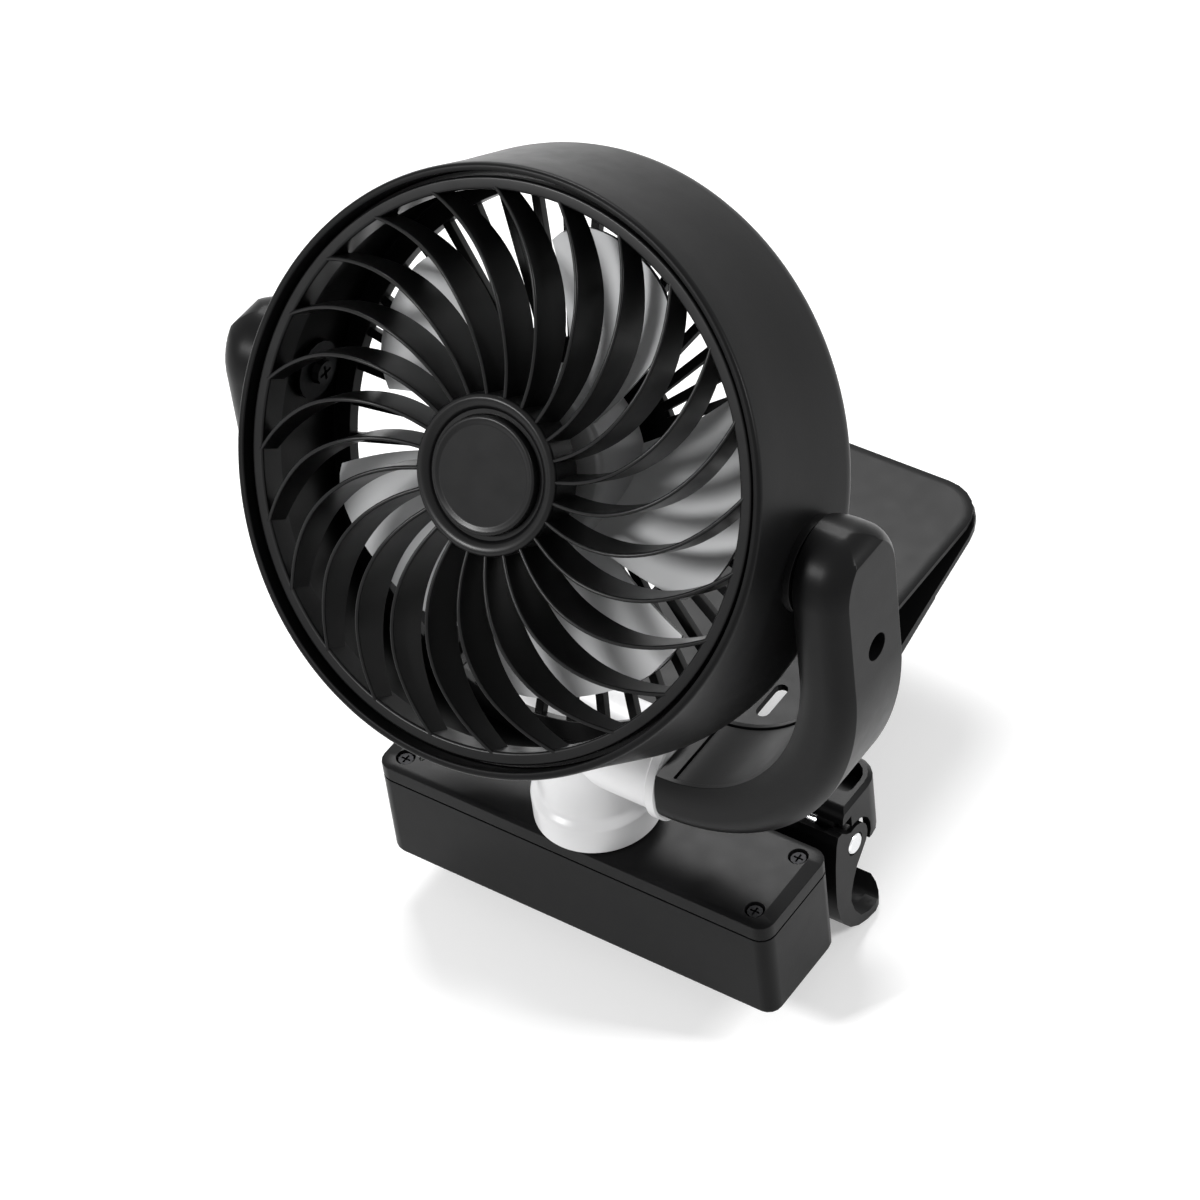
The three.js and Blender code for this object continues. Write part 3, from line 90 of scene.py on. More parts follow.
def new_material(name, colour, roughness, metallic=0.0, specular=0.5):
    material = bpy.data.materials.new(name)
    material.use_nodes = True
    shader = material.node_tree.nodes["Principled BSDF"]
    shader.inputs["Base Color"].default_value = (*colour, 1)
    shader.inputs["Roughness"].default_value = roughness
    shader.inputs["Metallic"].default_value = metallic
    shader.inputs["Specular IOR Level"].default_value = specular
    return material, shader


def noise(material, scale, detail, stretch=(1, 1, 1)):
    tree = material.node_tree
    coords = tree.nodes.new("ShaderNodeTexCoord")
    mapping = tree.nodes.new("ShaderNodeMapping")
    mapping.inputs["Scale"].default_value = stretch
    texture = tree.nodes.new("ShaderNodeTexNoise")
    texture.inputs["Scale"].default_value = scale
    texture.inputs["Detail"].default_value = detail
    tree.links.new(coords.outputs["Object"], mapping.inputs["Vector"])
    tree.links.new(mapping.outputs["Vector"], texture.inputs["Vector"])
    return texture.outputs["Fac"]


def ramp(material, source, low, high):
    """Colours a noise from low to high over the middle of its range."""
    node = material.node_tree.nodes.new("ShaderNodeValToRGB")
    for element, place, colour in zip(node.color_ramp.elements, (0.3, 0.7), (low, high)):
        element.position = place
        element.color = (*colour, 1)
    material.node_tree.links.new(source, node.inputs["Fac"])
    return node.outputs["Color"]


def spread(material, source, low, high, start=0, end=1):
    """Maps a source from start..end on to low..high."""
    node = material.node_tree.nodes.new("ShaderNodeMapRange")
    node.inputs["From Min"].default_value = start
    node.inputs["From Max"].default_value = end
    node.inputs["To Min"].default_value = low
    node.inputs["To Max"].default_value = high
    material.node_tree.links.new(source, node.inputs["Value"])
    return node.outputs["Result"]


def bump(material, shader, source, height):
    node = material.node_tree.nodes.new("ShaderNodeBump")
    node.inputs["Distance"].default_value = height
    material.node_tree.links.new(source, node.inputs["Height"])
    material.node_tree.links.new(node.outputs["Normal"], shader.inputs["Normal"])


def moulded(name, colour, roughness, grain_mm=0.35, grain=0.012, specular=0.5):
    """Moulded plastic: grain of grain_mm, grain mm deep, and a slight flow in colour and gloss."""
    material, shader = new_material(name, colour, roughness, specular=specular)
    join = material.node_tree.links.new
    low = [c * 0.88 for c in colour]
    high = [min(c * 1.14, 1) for c in colour]
    join(ramp(material, noise(material, 28, 2), low, high), shader.inputs["Base Color"])
    gloss = spread(material, noise(material, 160, 4), roughness - 0.05, roughness + 0.06)
    join(gloss, shader.inputs["Roughness"])
    bump(material, shader, noise(material, 500 / grain_mm, 4), grain * MM)
    return material


def metal(name, colour, roughness, stretch=(1, 1, 1)):
    """Turned, drawn or plated metal with fine lines."""
    material, shader = new_material(name, colour, roughness, metallic=1.0)
    join = material.node_tree.links.new
    plate = ramp(material, noise(material, 60, 3), [c * 0.88 for c in colour], colour)
    join(plate, shader.inputs["Base Color"])
    lines = noise(material, 700, 3, stretch)
    join(spread(material, lines, roughness - 0.08, roughness + 0.12), shader.inputs["Roughness"])
    bump(material, shader, lines, 0.004 * MM)
    return material


def printed_board(name):
    """Green lacquer over lighter tracks."""
    material, shader = new_material(name, (0.02, 0.16, 0.06), 0.4)
    tree = material.node_tree
    coords = tree.nodes.new("ShaderNodeTexCoord")
    brick = tree.nodes.new("ShaderNodeTexBrick")
    brick.inputs["Scale"].default_value = 260
    brick.inputs["Mortar Size"].default_value = 0.05
    brick.inputs["Color1"].default_value = (0.015, 0.13, 0.05, 1)
    brick.inputs["Color2"].default_value = (0.02, 0.17, 0.065, 1)
    brick.inputs["Mortar"].default_value = (0.05, 0.3, 0.12, 1)
    tree.links.new(coords.outputs["Object"], brick.inputs["Vector"])
    tree.links.new(brick.outputs["Color"], shader.inputs["Base Color"])
    bump(material, shader, brick.outputs["Fac"], 0.03 * MM)
    return material


# Finish to material, and finish to the nodes that have it.
MATERIALS = {
    "black": moulded("black_plastic_grain", (0.0045, 0.0045, 0.0047), 0.35, specular=0.09),
    "black_fine": moulded("black_plastic_satin", (0.0045, 0.0045, 0.0047), 0.3, 0.3, 0.006, 0.18),
    "dark": moulded("dark_plastic_grain", (0.022, 0.022, 0.024), 0.5),
    "white": moulded("white_plastic_satin", (0.7, 0.7, 0.705), 0.34, 0.4, 0.006),
    "grey": moulded("pale_grey_plastic_satin", (0.58, 0.585, 0.59), 0.36, 0.3, 0.006),
    "rubber": moulded("rubber_matte", (0.012, 0.012, 0.012), 0.8, 0.6, 0.04, 0.3),
    "zinc": metal("zinc_plate", (0.55, 0.56, 0.57), 0.36),
    "blacked": metal("black_oxide_steel", (0.018, 0.018, 0.019), 0.46),
    "chrome": metal("bright_steel", (0.78, 0.79, 0.8), 0.18, (0.05, 1, 1)),
    "motor": metal("motor_steel", (0.42, 0.43, 0.45), 0.42, (1, 0.08, 1)),
    "cell": moulded("cell_sleeve", (0.02, 0.08, 0.28), 0.25, 0.5, 0.004),
    "lens": moulded("lens_smoked", (0.03, 0.033, 0.03), 0.2, 0.5, 0.003),
    "board": printed_board("board_lacquer"),
}
FINISH = {
    "black": ["base_shell", "base_cover", "yoke_arm_right", "yoke_arm_left", "arm_cover_right",
              "arm_cover_left", "head_shell", "rear_grille", "upper_jaw", "lower_jaw"],
    "black_fine": ["front_grille", "hub_cap"],
    "dark": ["battery_holder", "tact_switch", "power_button"],
    "white": ["swivel_hub"],
    "grey": ["impeller"],
    "rubber": ["upper_pad", "lower_pad"],
    "blacked": ["cover_screw_1", "cover_screw_2", "cover_screw_3", "cover_screw_4", "arm_screw_right",
                "arm_screw_left", "pivot_washer_right", "pivot_washer_left", "pivot_screw_right",
                "pivot_screw_left"],
    "zinc": ["swivel_washer", "swivel_screw", "cross_axle", "impeller_nut", "bracket_screw_1",
             "bracket_screw_2", "charging_inlet"],
    "chrome": ["hinge_pin", "motor_shaft", "jaw_spring"],
    "motor": ["motor_can"],
    "cell": ["battery_cell"],
    "lens": ["led_lens"],
    "board": ["circuit_board"],
}
FINISH_OF = {name: finish for finish, names in FINISH.items() for name in names}


def give(obj, material):
    obj.data.materials.clear()
    obj.data.materials.append(material)


# ---------- Sizes of the part, in mm ----------

SEAT = 0.3  # gap between pieces that seat on or turn in each other
HUB_AXIS_Z, HUB_HALF, HUB_TUBE, HUB_BORE, HUB_FLANGE = 65.5, 31.0, 13.0, 4.8, 14.5
HUB_FOOT, HUB_STEM, HUB_FOOT_Z, SPIGOT, SPIGOT_Z = 17.8, 15.5, 35.7, 9.1, 30.6
HEAD_LIP, HEAD_FRONT, HEAD_BACK, HEAD_FLARE, HEAD_WALL = 76.9, 28.0, -15.6, 2.3, 2.2
HEAD_CLEAR, HEAD_LEAN = 1.66, 32
PIVOT_Z = HUB_AXIS_Z + HUB_FLANGE + math.hypot(HEAD_LIP, HEAD_FRONT) + HEAD_CLEAR
# The head is drawn about its own axis, with Z forward and Y up, and then turned into place.
HEAD_TILT = Matrix.Rotation(math.radians(90 - HEAD_LEAN), 4, "X")
HEAD_TURN = Matrix.Translation((0, 0, PIVOT_Z)) @ HEAD_TILT
LIP_IN, BACK_OUT = HEAD_LIP - HEAD_WALL, HEAD_LIP + HEAD_FLARE
COLLAR, COLLAR_X, BOSS_IN, PIVOT_STUB, STUB_END = 12.8, 79.4, 75.2, 5.5, 74.9
GRILLE_OUT, GRILLE_IN, GRILLE_FACE, GRILLE_BACK, VANE_BACK = 73.3, 70.0, 26.0, 18.0, 19.5
HUBRING, HUBRING_FACE, CAP, CAP_FACE = 20.5, 30.4, 15.0, 31.2
VANES, VANE_START = 24, 238.3
REAR_OUT, REAR_DISC, MOTOR_SHROUD = 72.2, 30.0, 17.5
SLATS, SLAT_HALF, SLAT_START = 45, 1.2, 3
BLADES, BLADE_TIP, BLADE_HUB, BLADE_SWEEP = 5, 60.0, 24.0, 54.0
BLADE_FRONT, BLADE_REAR, IMPELLER_FACE = 12.0, -7.0, 14.0
ARM_FACE, ARM_THICK, ARM_ROOT_THICK, ARM_HALF = 80.5, 14.8, 17.4, 14.6
ARM_ROUND, ARM_EDGE, ARM_RIM = 8.5, 32.0, 0.89
ARM_ROOT_X, ARM_ROOT_Z = 31.4, 75.9
ARM_BEND_Z, ARM_BEND_POWER = PIVOT_Z - 26.5, 1.9
RECESS, RECESS_DEEP, RECESS_Z = 3.75, 9.5, PIVOT_Z - 20.5
CHANNEL_HALF, CHANNEL_DEEP, CHANNEL_FROM = 11.6, 2.9, 0.05


# ---------- Mesh tools ----------

HARD_EDGE = 28  # degrees between two faces, above which their edge is rounded


def arc(cx, cy, radius, start, end, steps):
    angles = [math.radians(start + (end - start) * i / steps) for i in range(steps + 1)]
    return [(cx + radius * math.cos(a), cy + radius * math.sin(a)) for a in angles]


def lathe(outline, steps):
    """Turned about Z from (radius, height) points: a ring, or a body that closes on its axis."""
    points, rows, faces = [], [], []
    for radius, z in outline:
        if radius == 0:
            rows.append([len(points)] * steps)
            points.append(Vector((0, 0, z)))
            continue
        rows.append(range(len(points), len(points) + steps))
        for j in range(steps):
            a = math.tau * j / steps
            points.append(Vector((radius * math.cos(a), radius * math.sin(a), z)))
    pairs = list(zip(rows, rows[1:]))
    if outline[0][0] > 0:
        pairs.append((rows[-1], rows[0]))
    for low, high in pairs:
        for j in range(steps):
            k = (j + 1) % steps
            quad = list(dict.fromkeys((low[j], low[k], high[k], high[j])))
            if len(quad) > 2:
                faces.append(quad)
    return points, faces


def loft(rings):
    """A skin through rings of points with a flat cap at each end."""
    size = len(rings[0])
    points = [Vector(p) for ring in rings for p in ring]
    faces = []
    for i in range(len(rings) - 1):
        for j in range(size):
            k = (j + 1) % size
            faces.append([i * size + j, i * size + k, (i + 1) * size + k, (i + 1) * size + j])
    faces.append(list(range(size))[::-1])
    faces.append([(len(rings) - 1) * size + j for j in range(size)])
    return points, faces


def moved(part, matrix):
    return [matrix @ p for p in part[0]], part[1]


def along_x(part, side):
    """A part turned about Z laid along X, towards the side given."""
    return moved(part, Matrix.Rotation(side * math.pi / 2, 4, "Y"))


def mesh_of(name, parts):
    """One mesh, in metres, of parts given in mm."""
    points, faces = [], []
    for part_points, part_faces in parts:
        base = len(points)
        points += [p * MM for p in part_points]
        faces += [[i + base for i in face] for face in part_faces]
    mesh = bpy.data.meshes.new(name)
    mesh.from_pydata(points, [], faces)
    form = bmesh.new()
    form.from_mesh(mesh)
    bmesh.ops.recalc_face_normals(form, faces=form.faces)
    form.to_mesh(mesh)
    form.free()
    return mesh


def link(name, mesh):
    obj = bpy.data.objects.new(name, mesh)
    bpy.context.scene.collection.objects.link(obj)
    return obj


def applied(obj):
    """Bakes the object's modifiers into its mesh."""
    bpy.context.view_layer.update()
    made = bpy.data.meshes.new_from_object(obj.evaluated_get(bpy.context.evaluated_depsgraph_get()))
    obj.modifiers.clear()
    obj.data = made


def cut(obj, part):
    tool = link("tool", mesh_of("tool", [part]))
    step = obj.modifiers.new("cut", "BOOLEAN")
    step.operation = "DIFFERENCE"
    step.solver = "EXACT"
    step.object = tool
    applied(obj)
    bpy.data.objects.remove(tool)


def finish_form(obj, node, width, steps, smooth=40):
    """Rounds the hard edges by width mm, smooths the curved faces and stands in for the node."""
    for face in obj.data.polygons:
        face.use_smooth = True
    if width:
        bevel = obj.modifiers.new("edge", "BEVEL")
        bevel.width = width * MM
        bevel.segments = steps
        bevel.limit_method = "ANGLE"
        bevel.angle_limit = math.radians(HARD_EDGE)
        applied(obj)
    obj.data.set_sharp_from_angle(angle=math.radians(smooth))
    even = obj.modifiers.new("even", "WEIGHTED_NORMAL")
    even.keep_sharp = True
    applied(obj)
    give(obj, MATERIALS[FINISH_OF[node]])
    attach(obj, nodes[node]["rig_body"])
    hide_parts(node)


def rounded_copy(node, width, steps):
    """The node's own form with its hard edges rounded and its curved faces smooth."""
    mesh = nodes[node].data.copy()
    form = bmesh.new()
    form.from_mesh(mesh)
    bmesh.ops.remove_doubles(form, verts=form.verts, dist=2e-6)
    flat = math.radians(0.6)
    bmesh.ops.dissolve_limit(form, angle_limit=flat, verts=form.verts, edges=form.edges)
    form.to_mesh(mesh)
    form.free()
    finish_form(link(node + "_form", mesh), node, width, steps, 34)


def build_head_piece(node, parts, width=0, steps=0, smooth=46):
    """Turns parts drawn about the head's axis into place and stands them in for the node."""
    name = node + "_form"
    mesh = mesh_of(name, [moved(part, HEAD_TURN) for part in parts])
    finish_form(link(name, mesh), node, width, steps, smooth)


# ---------- Head ----------

def head_shell():
    def inner(z):
        return LIP_IN + HEAD_FLARE * 0.45 * (HEAD_FRONT - z) / (HEAD_FRONT - HEAD_BACK)

    flank = [
        (HEAD_LIP, HEAD_FRONT - 1.2), (HEAD_LIP + 0.35, HEAD_FRONT - 9),
        (HEAD_LIP + 0.8, HEAD_FRONT - 18), (HEAD_LIP + 1.35, HEAD_FRONT - 25),
        (BACK_OUT - 0.45, HEAD_FRONT - 32), (BACK_OUT, HEAD_BACK + 5.5),
    ]
    drum = lathe([
        (LIP_IN, HEAD_FRONT - 0.2), (LIP_IN + 0.4, HEAD_FRONT), (HEAD_LIP - 0.9, HEAD_FRONT),
        (HEAD_LIP - 0.3, HEAD_FRONT - 0.35), *flank,
        *arc(BACK_OUT - 4, HEAD_BACK + 4, 4, 0, -90, 6),
        (REAR_OUT + 0.6, HEAD_BACK), (REAR_OUT + 0.6, HEAD_BACK + 2),
        (inner(HEAD_BACK + 2), HEAD_BACK + 2), (inner(GRILLE_BACK - 2.6), GRILLE_BACK - 2.6),
        (GRILLE_OUT - 0.7, GRILLE_BACK - SEAT), (LIP_IN, GRILLE_BACK - SEAT),
    ], 240)
    bore = PIVOT_STUB + SEAT
    collar = lathe([(bore, BOSS_IN), (COLLAR, BOSS_IN), (COLLAR, COLLAR_X), (bore, COLLAR_X)], 72)
    collars = [along_x(collar, side) for side in (-1, 1)]
    build_head_piece("head_shell", [drum, *collars], 0.25, 2, 40)


# Along a vane from its root: share of its run, degrees swept, rise of its front edge over the rim.
VANE_LINE = [(0, 0, 3.4), (0.16, 1.7, 4.8), (0.33, 5.3, 6), (0.5, 10.3, 6.2), (0.67, 16.3, 5),
             (0.84, 23.7, 2.6), (1, 31.4, -0.2)]
VANE_ROOT = HUBRING - 2
VANE_RUN = GRILLE_IN + 1.6 - VANE_ROOT
VANE_FRONT_HALF, VANE_BACK_HALF = 0.55, 0.95


def eased(line, share, column):
    """A smooth curve through one column of the line's rows, read at a share of its run."""
    last = len(line) - 1
    i = max(k for k in range(last) if line[k][0] <= share or k == 0)
    rows = [line[max(i - 1, 0)], line[i], line[i + 1], line[min(i + 2, last)]]
    width = rows[2][0] - rows[1][0]
    t = (share - rows[1][0]) / width
    before = (rows[2][column] - rows[0][column]) / (rows[2][0] - rows[0][0]) * width
    after = (rows[3][column] - rows[1][column]) / (rows[3][0] - rows[1][0]) * width
    p, q = rows[1][column], rows[2][column]
    return (p * (2 * t**3 - 3 * t**2 + 1) + before * (t**3 - 2 * t**2 + t)
            + q * (3 * t**2 - 2 * t**3) + after * (t**3 - t**2))


def vane(number, steps=26):
    def middle(share):
        radius = VANE_ROOT + VANE_RUN * share
        angle = math.radians(VANE_START + 360 / VANES * number + eased(VANE_LINE, share, 1))
        return Vector((radius * math.cos(angle), radius * math.sin(angle), 0))

    rings = []
    for i in range(steps + 1):
        share = i / steps
        ahead = (middle(min(share + 0.01, 1)) - middle(max(share - 0.01, 0))).normalized()
        across = Vector((-ahead.y, ahead.x, 0))
        front = GRILLE_FACE + eased(VANE_LINE, share, 2)
        edge = arc(0, front - VANE_FRONT_HALF, VANE_FRONT_HALF, 0, 180, 5)
        outline = [(-VANE_BACK_HALF, VANE_BACK), (VANE_BACK_HALF, VANE_BACK), *edge]
        rings.append([middle(share) + across * u + Vector((0, 0, z)) for u, z in outline])
    return loft(rings)


def front_grille():
    rim = lathe([
        (GRILLE_IN, GRILLE_BACK), (LIP_IN - SEAT, GRILLE_BACK), (LIP_IN - SEAT, GRILLE_BACK + 4),
        (GRILLE_OUT, GRILLE_BACK + 4), *arc(GRILLE_OUT - 0.7, GRILLE_FACE - 0.7, 0.7, 0, 90, 4),
        *arc(GRILLE_IN + 0.7, GRILLE_FACE - 0.7, 0.7, 90, 180, 4),
    ], 240)
    hub = lathe([
        (0, VANE_BACK), (HUBRING - 0.4, VANE_BACK), (HUBRING, VANE_BACK + 0.4),
        *arc(HUBRING - 1.5, HUBRING_FACE - 1.5, 1.5, 0, 90, 5), (HUBRING - 3, HUBRING_FACE - 0.2),
        (CAP + 1.4, HUBRING_FACE - 1.6), (CAP + SEAT, HUBRING_FACE - 1.6),
        (CAP + SEAT, HUBRING_FACE - 3), (0, HUBRING_FACE - 3),
    ], 128)
    build_head_piece("front_grille", [rim, hub, *(vane(n) for n in range(VANES))])


def hub_cap():
    back = HUBRING_FACE - 2.7
    cap = lathe([
        (0, back), (CAP, back), *arc(CAP - 0.7, CAP_FACE - 0.7, 0.7, 0, 90, 4),
        (CAP - 1.3, CAP_FACE), (CAP - 1.9, CAP_FACE - 0.3), (CAP - 2.4, CAP_FACE - 0.3),
        (0, CAP_FACE - 0.3),
    ], 128)
    build_head_piece("hub_cap", [cap])


def rear_grille():
    back = HEAD_BACK + 0.2
    ring = lathe([
        (GRILLE_IN - 1, back), (REAR_OUT, back), (REAR_OUT, HEAD_BACK + 2.3),
        (REAR_OUT + 2, HEAD_BACK + 2.3), (REAR_OUT + 2, HEAD_BACK + 4.2),
        (GRILLE_IN - 1, HEAD_BACK + 4.2),
    ], 240)
    disc = lathe([
        (0, back), (REAR_DISC, back), (REAR_DISC, back + 2.4), (MOTOR_SHROUD + 2, back + 2.4),
        (MOTOR_SHROUD + 2, back + 9), (MOTOR_SHROUD, back + 9), (MOTOR_SHROUD, back + 2.4),
        (0, back + 2.4),
    ], 128)
    low, high = back + 0.2, back + 3
    section = [(-SLAT_HALF, low), (SLAT_HALF, low), (SLAT_HALF, high), (-SLAT_HALF, high)]
    slat = loft([[(x, y, z) for y, z in section] for x in (REAR_DISC - 1, GRILLE_IN)])
    turns = [math.radians(360 / SLATS * number + SLAT_START) for number in range(SLATS)]
    slats = [moved(slat, Matrix.Rotation(turn, 4, "Z")) for turn in turns]
    build_head_piece("rear_grille", [ring, disc, *slats], 0.25, 2, 40)


def blade(number, across=18, along=10):
    rings = []
    for j in range(along + 1):
        share = j / along
        front, rear = [], []
        for i in range(across + 1):
            chord = i / across
            side = 2 * chord - 1
            radius = BLADE_HUB - 1 + (BLADE_TIP - 5 * side**4 - BLADE_HUB + 1) * share
            angle = math.radians(BLADE_SWEEP * (chord - 0.5) + 9 * share + 360 / BLADES * number)
            height = BLADE_REAR + (BLADE_FRONT - BLADE_REAR) * (1 - chord) ** 1.25
            thick = 0.75 * (1 - 0.45 * side**2)
            x, y = radius * math.cos(angle), radius * math.sin(angle)
            front.append((x, y, height + thick))
            rear.insert(0, (x, y, height - thick))
        rings.append(front + rear)
    return loft(rings)


def impeller():
    hub = lathe([
        (BLADE_HUB - 2, BLADE_REAR), (BLADE_HUB, BLADE_REAR),
        *arc(BLADE_HUB - 2, IMPELLER_FACE - 2, 2, 0, 90, 5),
        (1.8, IMPELLER_FACE), (1.8, IMPELLER_FACE - 8), (4, IMPELLER_FACE - 8),
        (4, IMPELLER_FACE - 2), (BLADE_HUB - 2, IMPELLER_FACE - 2),
    ], 120)
    build_head_piece("impeller", [hub, *(blade(n) for n in range(BLADES))])


# ---------- Hub and yoke ----------

def swivel_hub():
    stem = lathe([
        (0, SPIGOT_Z), (SPIGOT, SPIGOT_Z), (SPIGOT, HUB_FOOT_Z), (HUB_FOOT - 0.3, HUB_FOOT_Z),
        (HUB_FOOT, HUB_FOOT_Z + 0.3), (HUB_FOOT, HUB_FOOT_Z + 8), (HUB_FOOT - 0.3, HUB_FOOT_Z + 8.7),
        (HUB_FOOT - 0.9, HUB_FOOT_Z + 9.3), (HUB_STEM + 0.6, HUB_FOOT_Z + 10),
        (HUB_STEM + 0.15, HUB_FOOT_Z + 10.5), (HUB_STEM, HUB_FOOT_Z + 11.4),
        (HUB_STEM, HUB_AXIS_Z - 6), (HUB_STEM - 0.6, HUB_AXIS_Z - 2), (HUB_STEM - 2.4, HUB_AXIS_Z + 2),
        (HUB_STEM - 5.5, HUB_AXIS_Z + 5), (HUB_STEM - 9.5, HUB_AXIS_Z + 7), (0, HUB_AXIS_Z + 8),
    ], 120)
    parts = [stem]
    for side in (-1, 1):
        tube = lathe([
            (HUB_BORE, 0), (HUB_TUBE, 0), (HUB_TUBE, HUB_HALF - 4), (HUB_TUBE + 0.4, HUB_HALF - 3.7),
            (HUB_FLANGE - 0.4, HUB_HALF - 3.5), (HUB_FLANGE, HUB_HALF - 3), (HUB_FLANGE, HUB_HALF - 0.5),
            (HUB_FLANGE - 0.5, HUB_HALF), (HUB_BORE, HUB_HALF),
        ], 96)
        parts.append(moved(along_x(tube, side), Matrix.Translation((0, 0, HUB_AXIS_Z))))
    finish_form(link("swivel_hub_form", mesh_of("swivel_hub_form", parts)), "swivel_hub", 0, 0, 36)


def arm_bend(share):
    """A station on the arm's inner edge, at a share of its bend.

    It holds X, Z, the outward direction's X and Z, and the thickness.
    """
    start = ARM_ROOT_X + 1.5
    power = 2 / ARM_BEND_POWER

    def point(t):
        return (start + (ARM_FACE - start) * max(math.sin(t), 0) ** power,
                ARM_BEND_Z - (ARM_BEND_Z - ARM_ROOT_Z) * max(math.cos(t), 0) ** power)

    angle = share * math.pi / 2
    (x0, z0), (x1, z1) = point(max(angle - 0.01, 0)), point(min(angle + 0.01, math.pi / 2))
    run = math.hypot(x1 - x0, z1 - z0)
    thick = ARM_ROOT_THICK + (ARM_THICK - ARM_ROOT_THICK) * share**1.5
    return (*point(angle), (z1 - z0) / run, -(x1 - x0) / run, thick)


def arm_line(share, top, steps=44):
    """Stations from a share of the arm's bend up to a height on its straight part."""
    bend = [arm_bend(share + (1 - share) * i / steps) for i in range(steps + 1)]
    return [*bend, (ARM_FACE, top, 1, 0, ARM_THICK)]


def arm_ring(station, outline):
    """The outline's points (outwards, across) set out at a station."""
    x, z, nx, nz, _ = station
    return [Vector((x + nx * u, v, z + nz * u)) for u, v in outline]


def arm_bulge(round_by):
    """How far the arm's rounding would rise past its flat outer face if it ran on."""
    return round_by * (1 - math.cos(math.radians(ARM_EDGE)))


def arm_section(half, thick):
    round_by = min(ARM_ROUND, half * 0.9)
    start = thick + arm_bulge(round_by) - round_by
    side = [(start * i / 6, half * (1 - (1 - ARM_RIM) * (1 - i / 6) ** 3.7)) for i in range(6)]
    side += arc(start, half - round_by, round_by, 90, ARM_EDGE, 10)
    return side + [(u, -v) for u, v in reversed(side)]


def rod_x(radius, x0, x1, z, steps=48):
    circle = arc(0, z, radius, 0, 360 - 360 / steps, steps - 1)
    return loft([[(x, y, height) for y, height in circle] for x in (x0, x1)])


def channel_strip(near, far, half, low_pull=0, top_pull=0):
    """A strip along the arm's inner channel, its two ends pulled in by a share of the last step."""
    outline = [(near, -half), (far, -half), (far, half), (near, half)]
    rings = [arm_ring(s, outline) for s in arm_line(CHANNEL_FROM, PIVOT_Z - 15)]
    rings[0] = [p.lerp(q, low_pull) for p, q in zip(rings[0], rings[1])]
    rings[-1] = [p.lerp(q, top_pull) for p, q in zip(rings[-1], rings[-2])]
    return loft(rings)


def yoke_side(name, turn):
    """One arm and its inlay, drawn on the right and turned to their side."""
    stations = [(ARM_ROOT_X, ARM_ROOT_Z, 0, -1, ARM_ROOT_THICK), *arm_line(0, PIVOT_Z - 9)]
    rings = [arm_ring(s, arm_section(ARM_HALF, s[4])) for s in stations]
    for i in range(16):
        angle = math.radians(86 * (i / 15) ** 0.8)
        high = ARM_HALF * math.sin(angle)
        inset = max(ARM_ROUND - ARM_HALF + high, 0)
        drop = ARM_ROUND - math.sqrt(ARM_ROUND**2 - inset**2)
        thick = ARM_THICK - max(drop - arm_bulge(ARM_ROUND), 0)
        section = arm_section(ARM_HALF * math.cos(angle), thick)
        rings.append(arm_ring((ARM_FACE, PIVOT_Z + high, 1, 0, thick), section))
    arm = link("yoke_arm_" + name + "_form", mesh_of("yoke_arm_form", [loft(rings)]))
    cut(arm, channel_strip(-2, CHANNEL_DEEP, CHANNEL_HALF))
    face = ARM_FACE + ARM_THICK
    cut(arm, rod_x(RECESS, face - RECESS_DEEP, face + 2, RECESS_Z))
    boss = rod_x(COLLAR - 1.8, ARM_FACE - 0.8, ARM_FACE + 2, PIVOT_Z, 72)
    stub = [boss, rod_x(PIVOT_STUB, STUB_END, ARM_FACE + 2, PIVOT_Z)]
    form = bmesh.new()
    form.from_mesh(arm.data)
    form.from_mesh(mesh_of("stub", stub))
    bmesh.ops.transform(form, matrix=turn, verts=form.verts)
    form.to_mesh(arm.data)
    form.free()
    finish_form(arm, "yoke_arm_" + name, 0.35, 3)
    strip = channel_strip(0.5, CHANNEL_DEEP - SEAT, CHANNEL_HALF - SEAT, 0.25, 0.04)
    inlay = link("arm_cover_" + name + "_form", mesh_of("arm_cover_form", [moved(strip, turn)]))
    finish_form(inlay, "arm_cover_" + name, 0.2, 2)


# ---------- Dressing ----------

# Node, edge round in mm, steps of the round.
ROUNDED = {
    "base_shell": (0.5, 3),
    "base_cover": (0.35, 2),
    "upper_jaw": (0.35, 2),
    "lower_jaw": (0.35, 2),
    "power_button": (0.3, 2),
    "hinge_pin": (0.15, 2),
}


def dress():
    for name, node in nodes.items():
        give(node, MATERIALS[FINISH_OF[name]])
    for name, (width, steps) in ROUNDED.items():
        rounded_copy(name, width, steps)
    head_shell()
    front_grille()
    hub_cap()
    rear_grille()
    impeller()
    swivel_hub()
    yoke_side("right", Matrix.Identity(4))
    yoke_side("left", Matrix.Rotation(math.pi, 4, "Z"))


# ---------- Floor, world and lamps ----------

FLOOR_Z, FLOOR_HALF = -13.3 * MM, 6
# The floor's own paleness, as a strength, by the part and far off where the lamps' light fades.
NEAR_PALE, FAR_PALE = 0.3, 0.7
NEAR, FAR = 0.4, 2.2
WORLD_LIGHT = 0.35
# Name, place, aim, size and power.
LAMPS = [
    ("key", (-0.8, -1.22, 1.1), (0, 0, 0.12), (0.3, 0.3), 22),
    ("rim", (1.3, 0.5, 1.0), (0, 0, 0.12), (0.22, 0.5), 15),
    ("top", (-0.62, 0.85, 1.15), (0, 0, 0.1), (0.7, 0.3), 16),
]


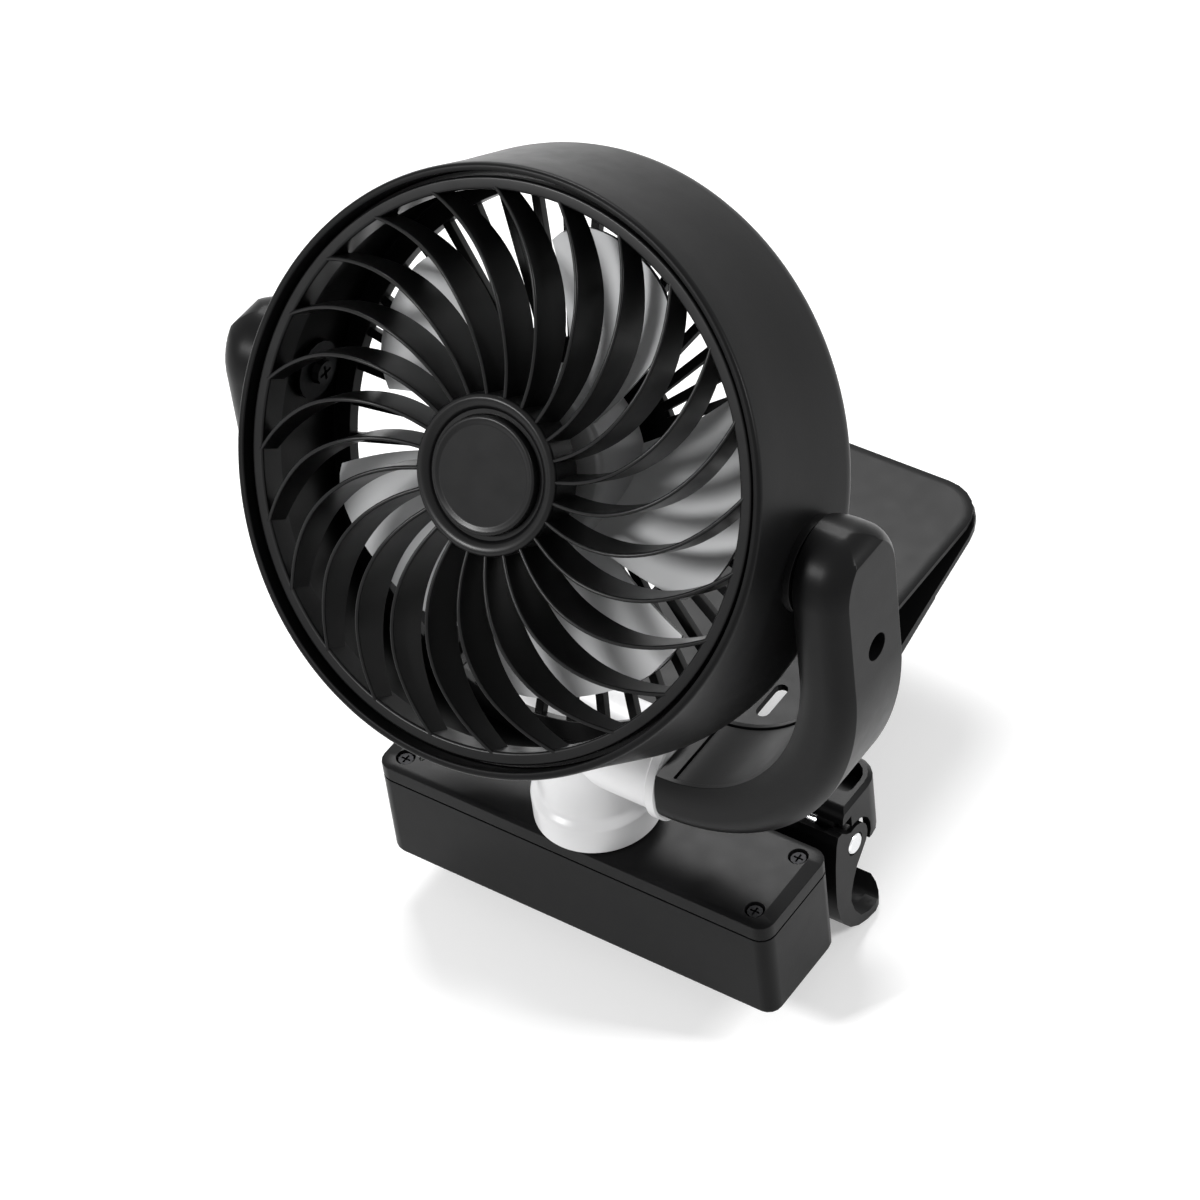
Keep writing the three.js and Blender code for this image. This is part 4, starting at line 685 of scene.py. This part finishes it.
def seen_strength(tree, unseen):
    """Strength 1 for the rays of the camera, reflections and glass, and unseen for the rest."""
    path = tree.nodes.new("ShaderNodeLightPath")
    flag = path.outputs["Is Camera Ray"]
    for other in ("Is Glossy Ray", "Is Transmission Ray"):
        either = tree.nodes.new("ShaderNodeMath")
        either.operation = "MAXIMUM"
        tree.links.new(flag, either.inputs[0])
        tree.links.new(path.outputs[other], either.inputs[1])
        flag = either.outputs[0]
    strength = tree.nodes.new("ShaderNodeMapRange")
    strength.inputs["To Min"].default_value = unseen
    strength.inputs["To Max"].default_value = 1
    tree.links.new(flag, strength.inputs["Value"])
    return strength.outputs["Result"]


def make_floor():
    mesh = bpy.data.meshes.new("floor")
    signs = ((-1, -1), (1, -1), (1, 1), (-1, 1))
    corners = [(FLOOR_HALF * x, FLOOR_HALF * y, FLOOR_Z) for x, y in signs]
    mesh.from_pydata(corners, [], [(0, 1, 2, 3)])
    floor = link("floor", mesh)
    material, shader = new_material("floor_white", (0.8, 0.8, 0.8), 0.9, specular=0.1)
    shader.inputs["Emission Color"].default_value = (1, 1, 1, 1)
    tree = material.node_tree
    coords = tree.nodes.new("ShaderNodeTexCoord")
    distance = tree.nodes.new("ShaderNodeVectorMath")
    distance.operation = "LENGTH"
    tree.links.new(coords.outputs["Object"], distance.inputs[0])
    pale = spread(material, distance.outputs["Value"], NEAR_PALE, FAR_PALE, NEAR, FAR)
    strength = tree.nodes.new("ShaderNodeMath")
    strength.operation = "MULTIPLY"
    tree.links.new(pale, strength.inputs[0])
    tree.links.new(seen_strength(tree, 0), strength.inputs[1])
    tree.links.new(strength.outputs[0], shader.inputs["Emission Strength"])
    give(floor, material)


def make_world():
    world = bpy.data.worlds.new("studio")
    bpy.context.scene.world = world
    world.use_nodes = True
    tree = world.node_tree
    background = tree.nodes["Background"]
    tree.links.new(seen_strength(tree, WORLD_LIGHT), background.inputs["Strength"])
    background.inputs["Color"].default_value = (1, 1, 1, 1)


def softbox(name, place, target, size, power):
    data = bpy.data.lights.new(name, "AREA")
    data.shape = "RECTANGLE"
    data.size, data.size_y = size
    data.energy = power
    lamp = bpy.data.objects.new(name, data)
    lamp.location = place
    lamp.rotation_euler = (Vector(target) - Vector(place)).to_track_quat("-Z", "Y").to_euler()
    bpy.context.scene.collection.objects.link(lamp)


make_camera()
make_world()
make_floor()
for lamp in LAMPS:
    softbox(*lamp)
dress()
bpy.context.scene.view_settings.view_transform = "Standard"
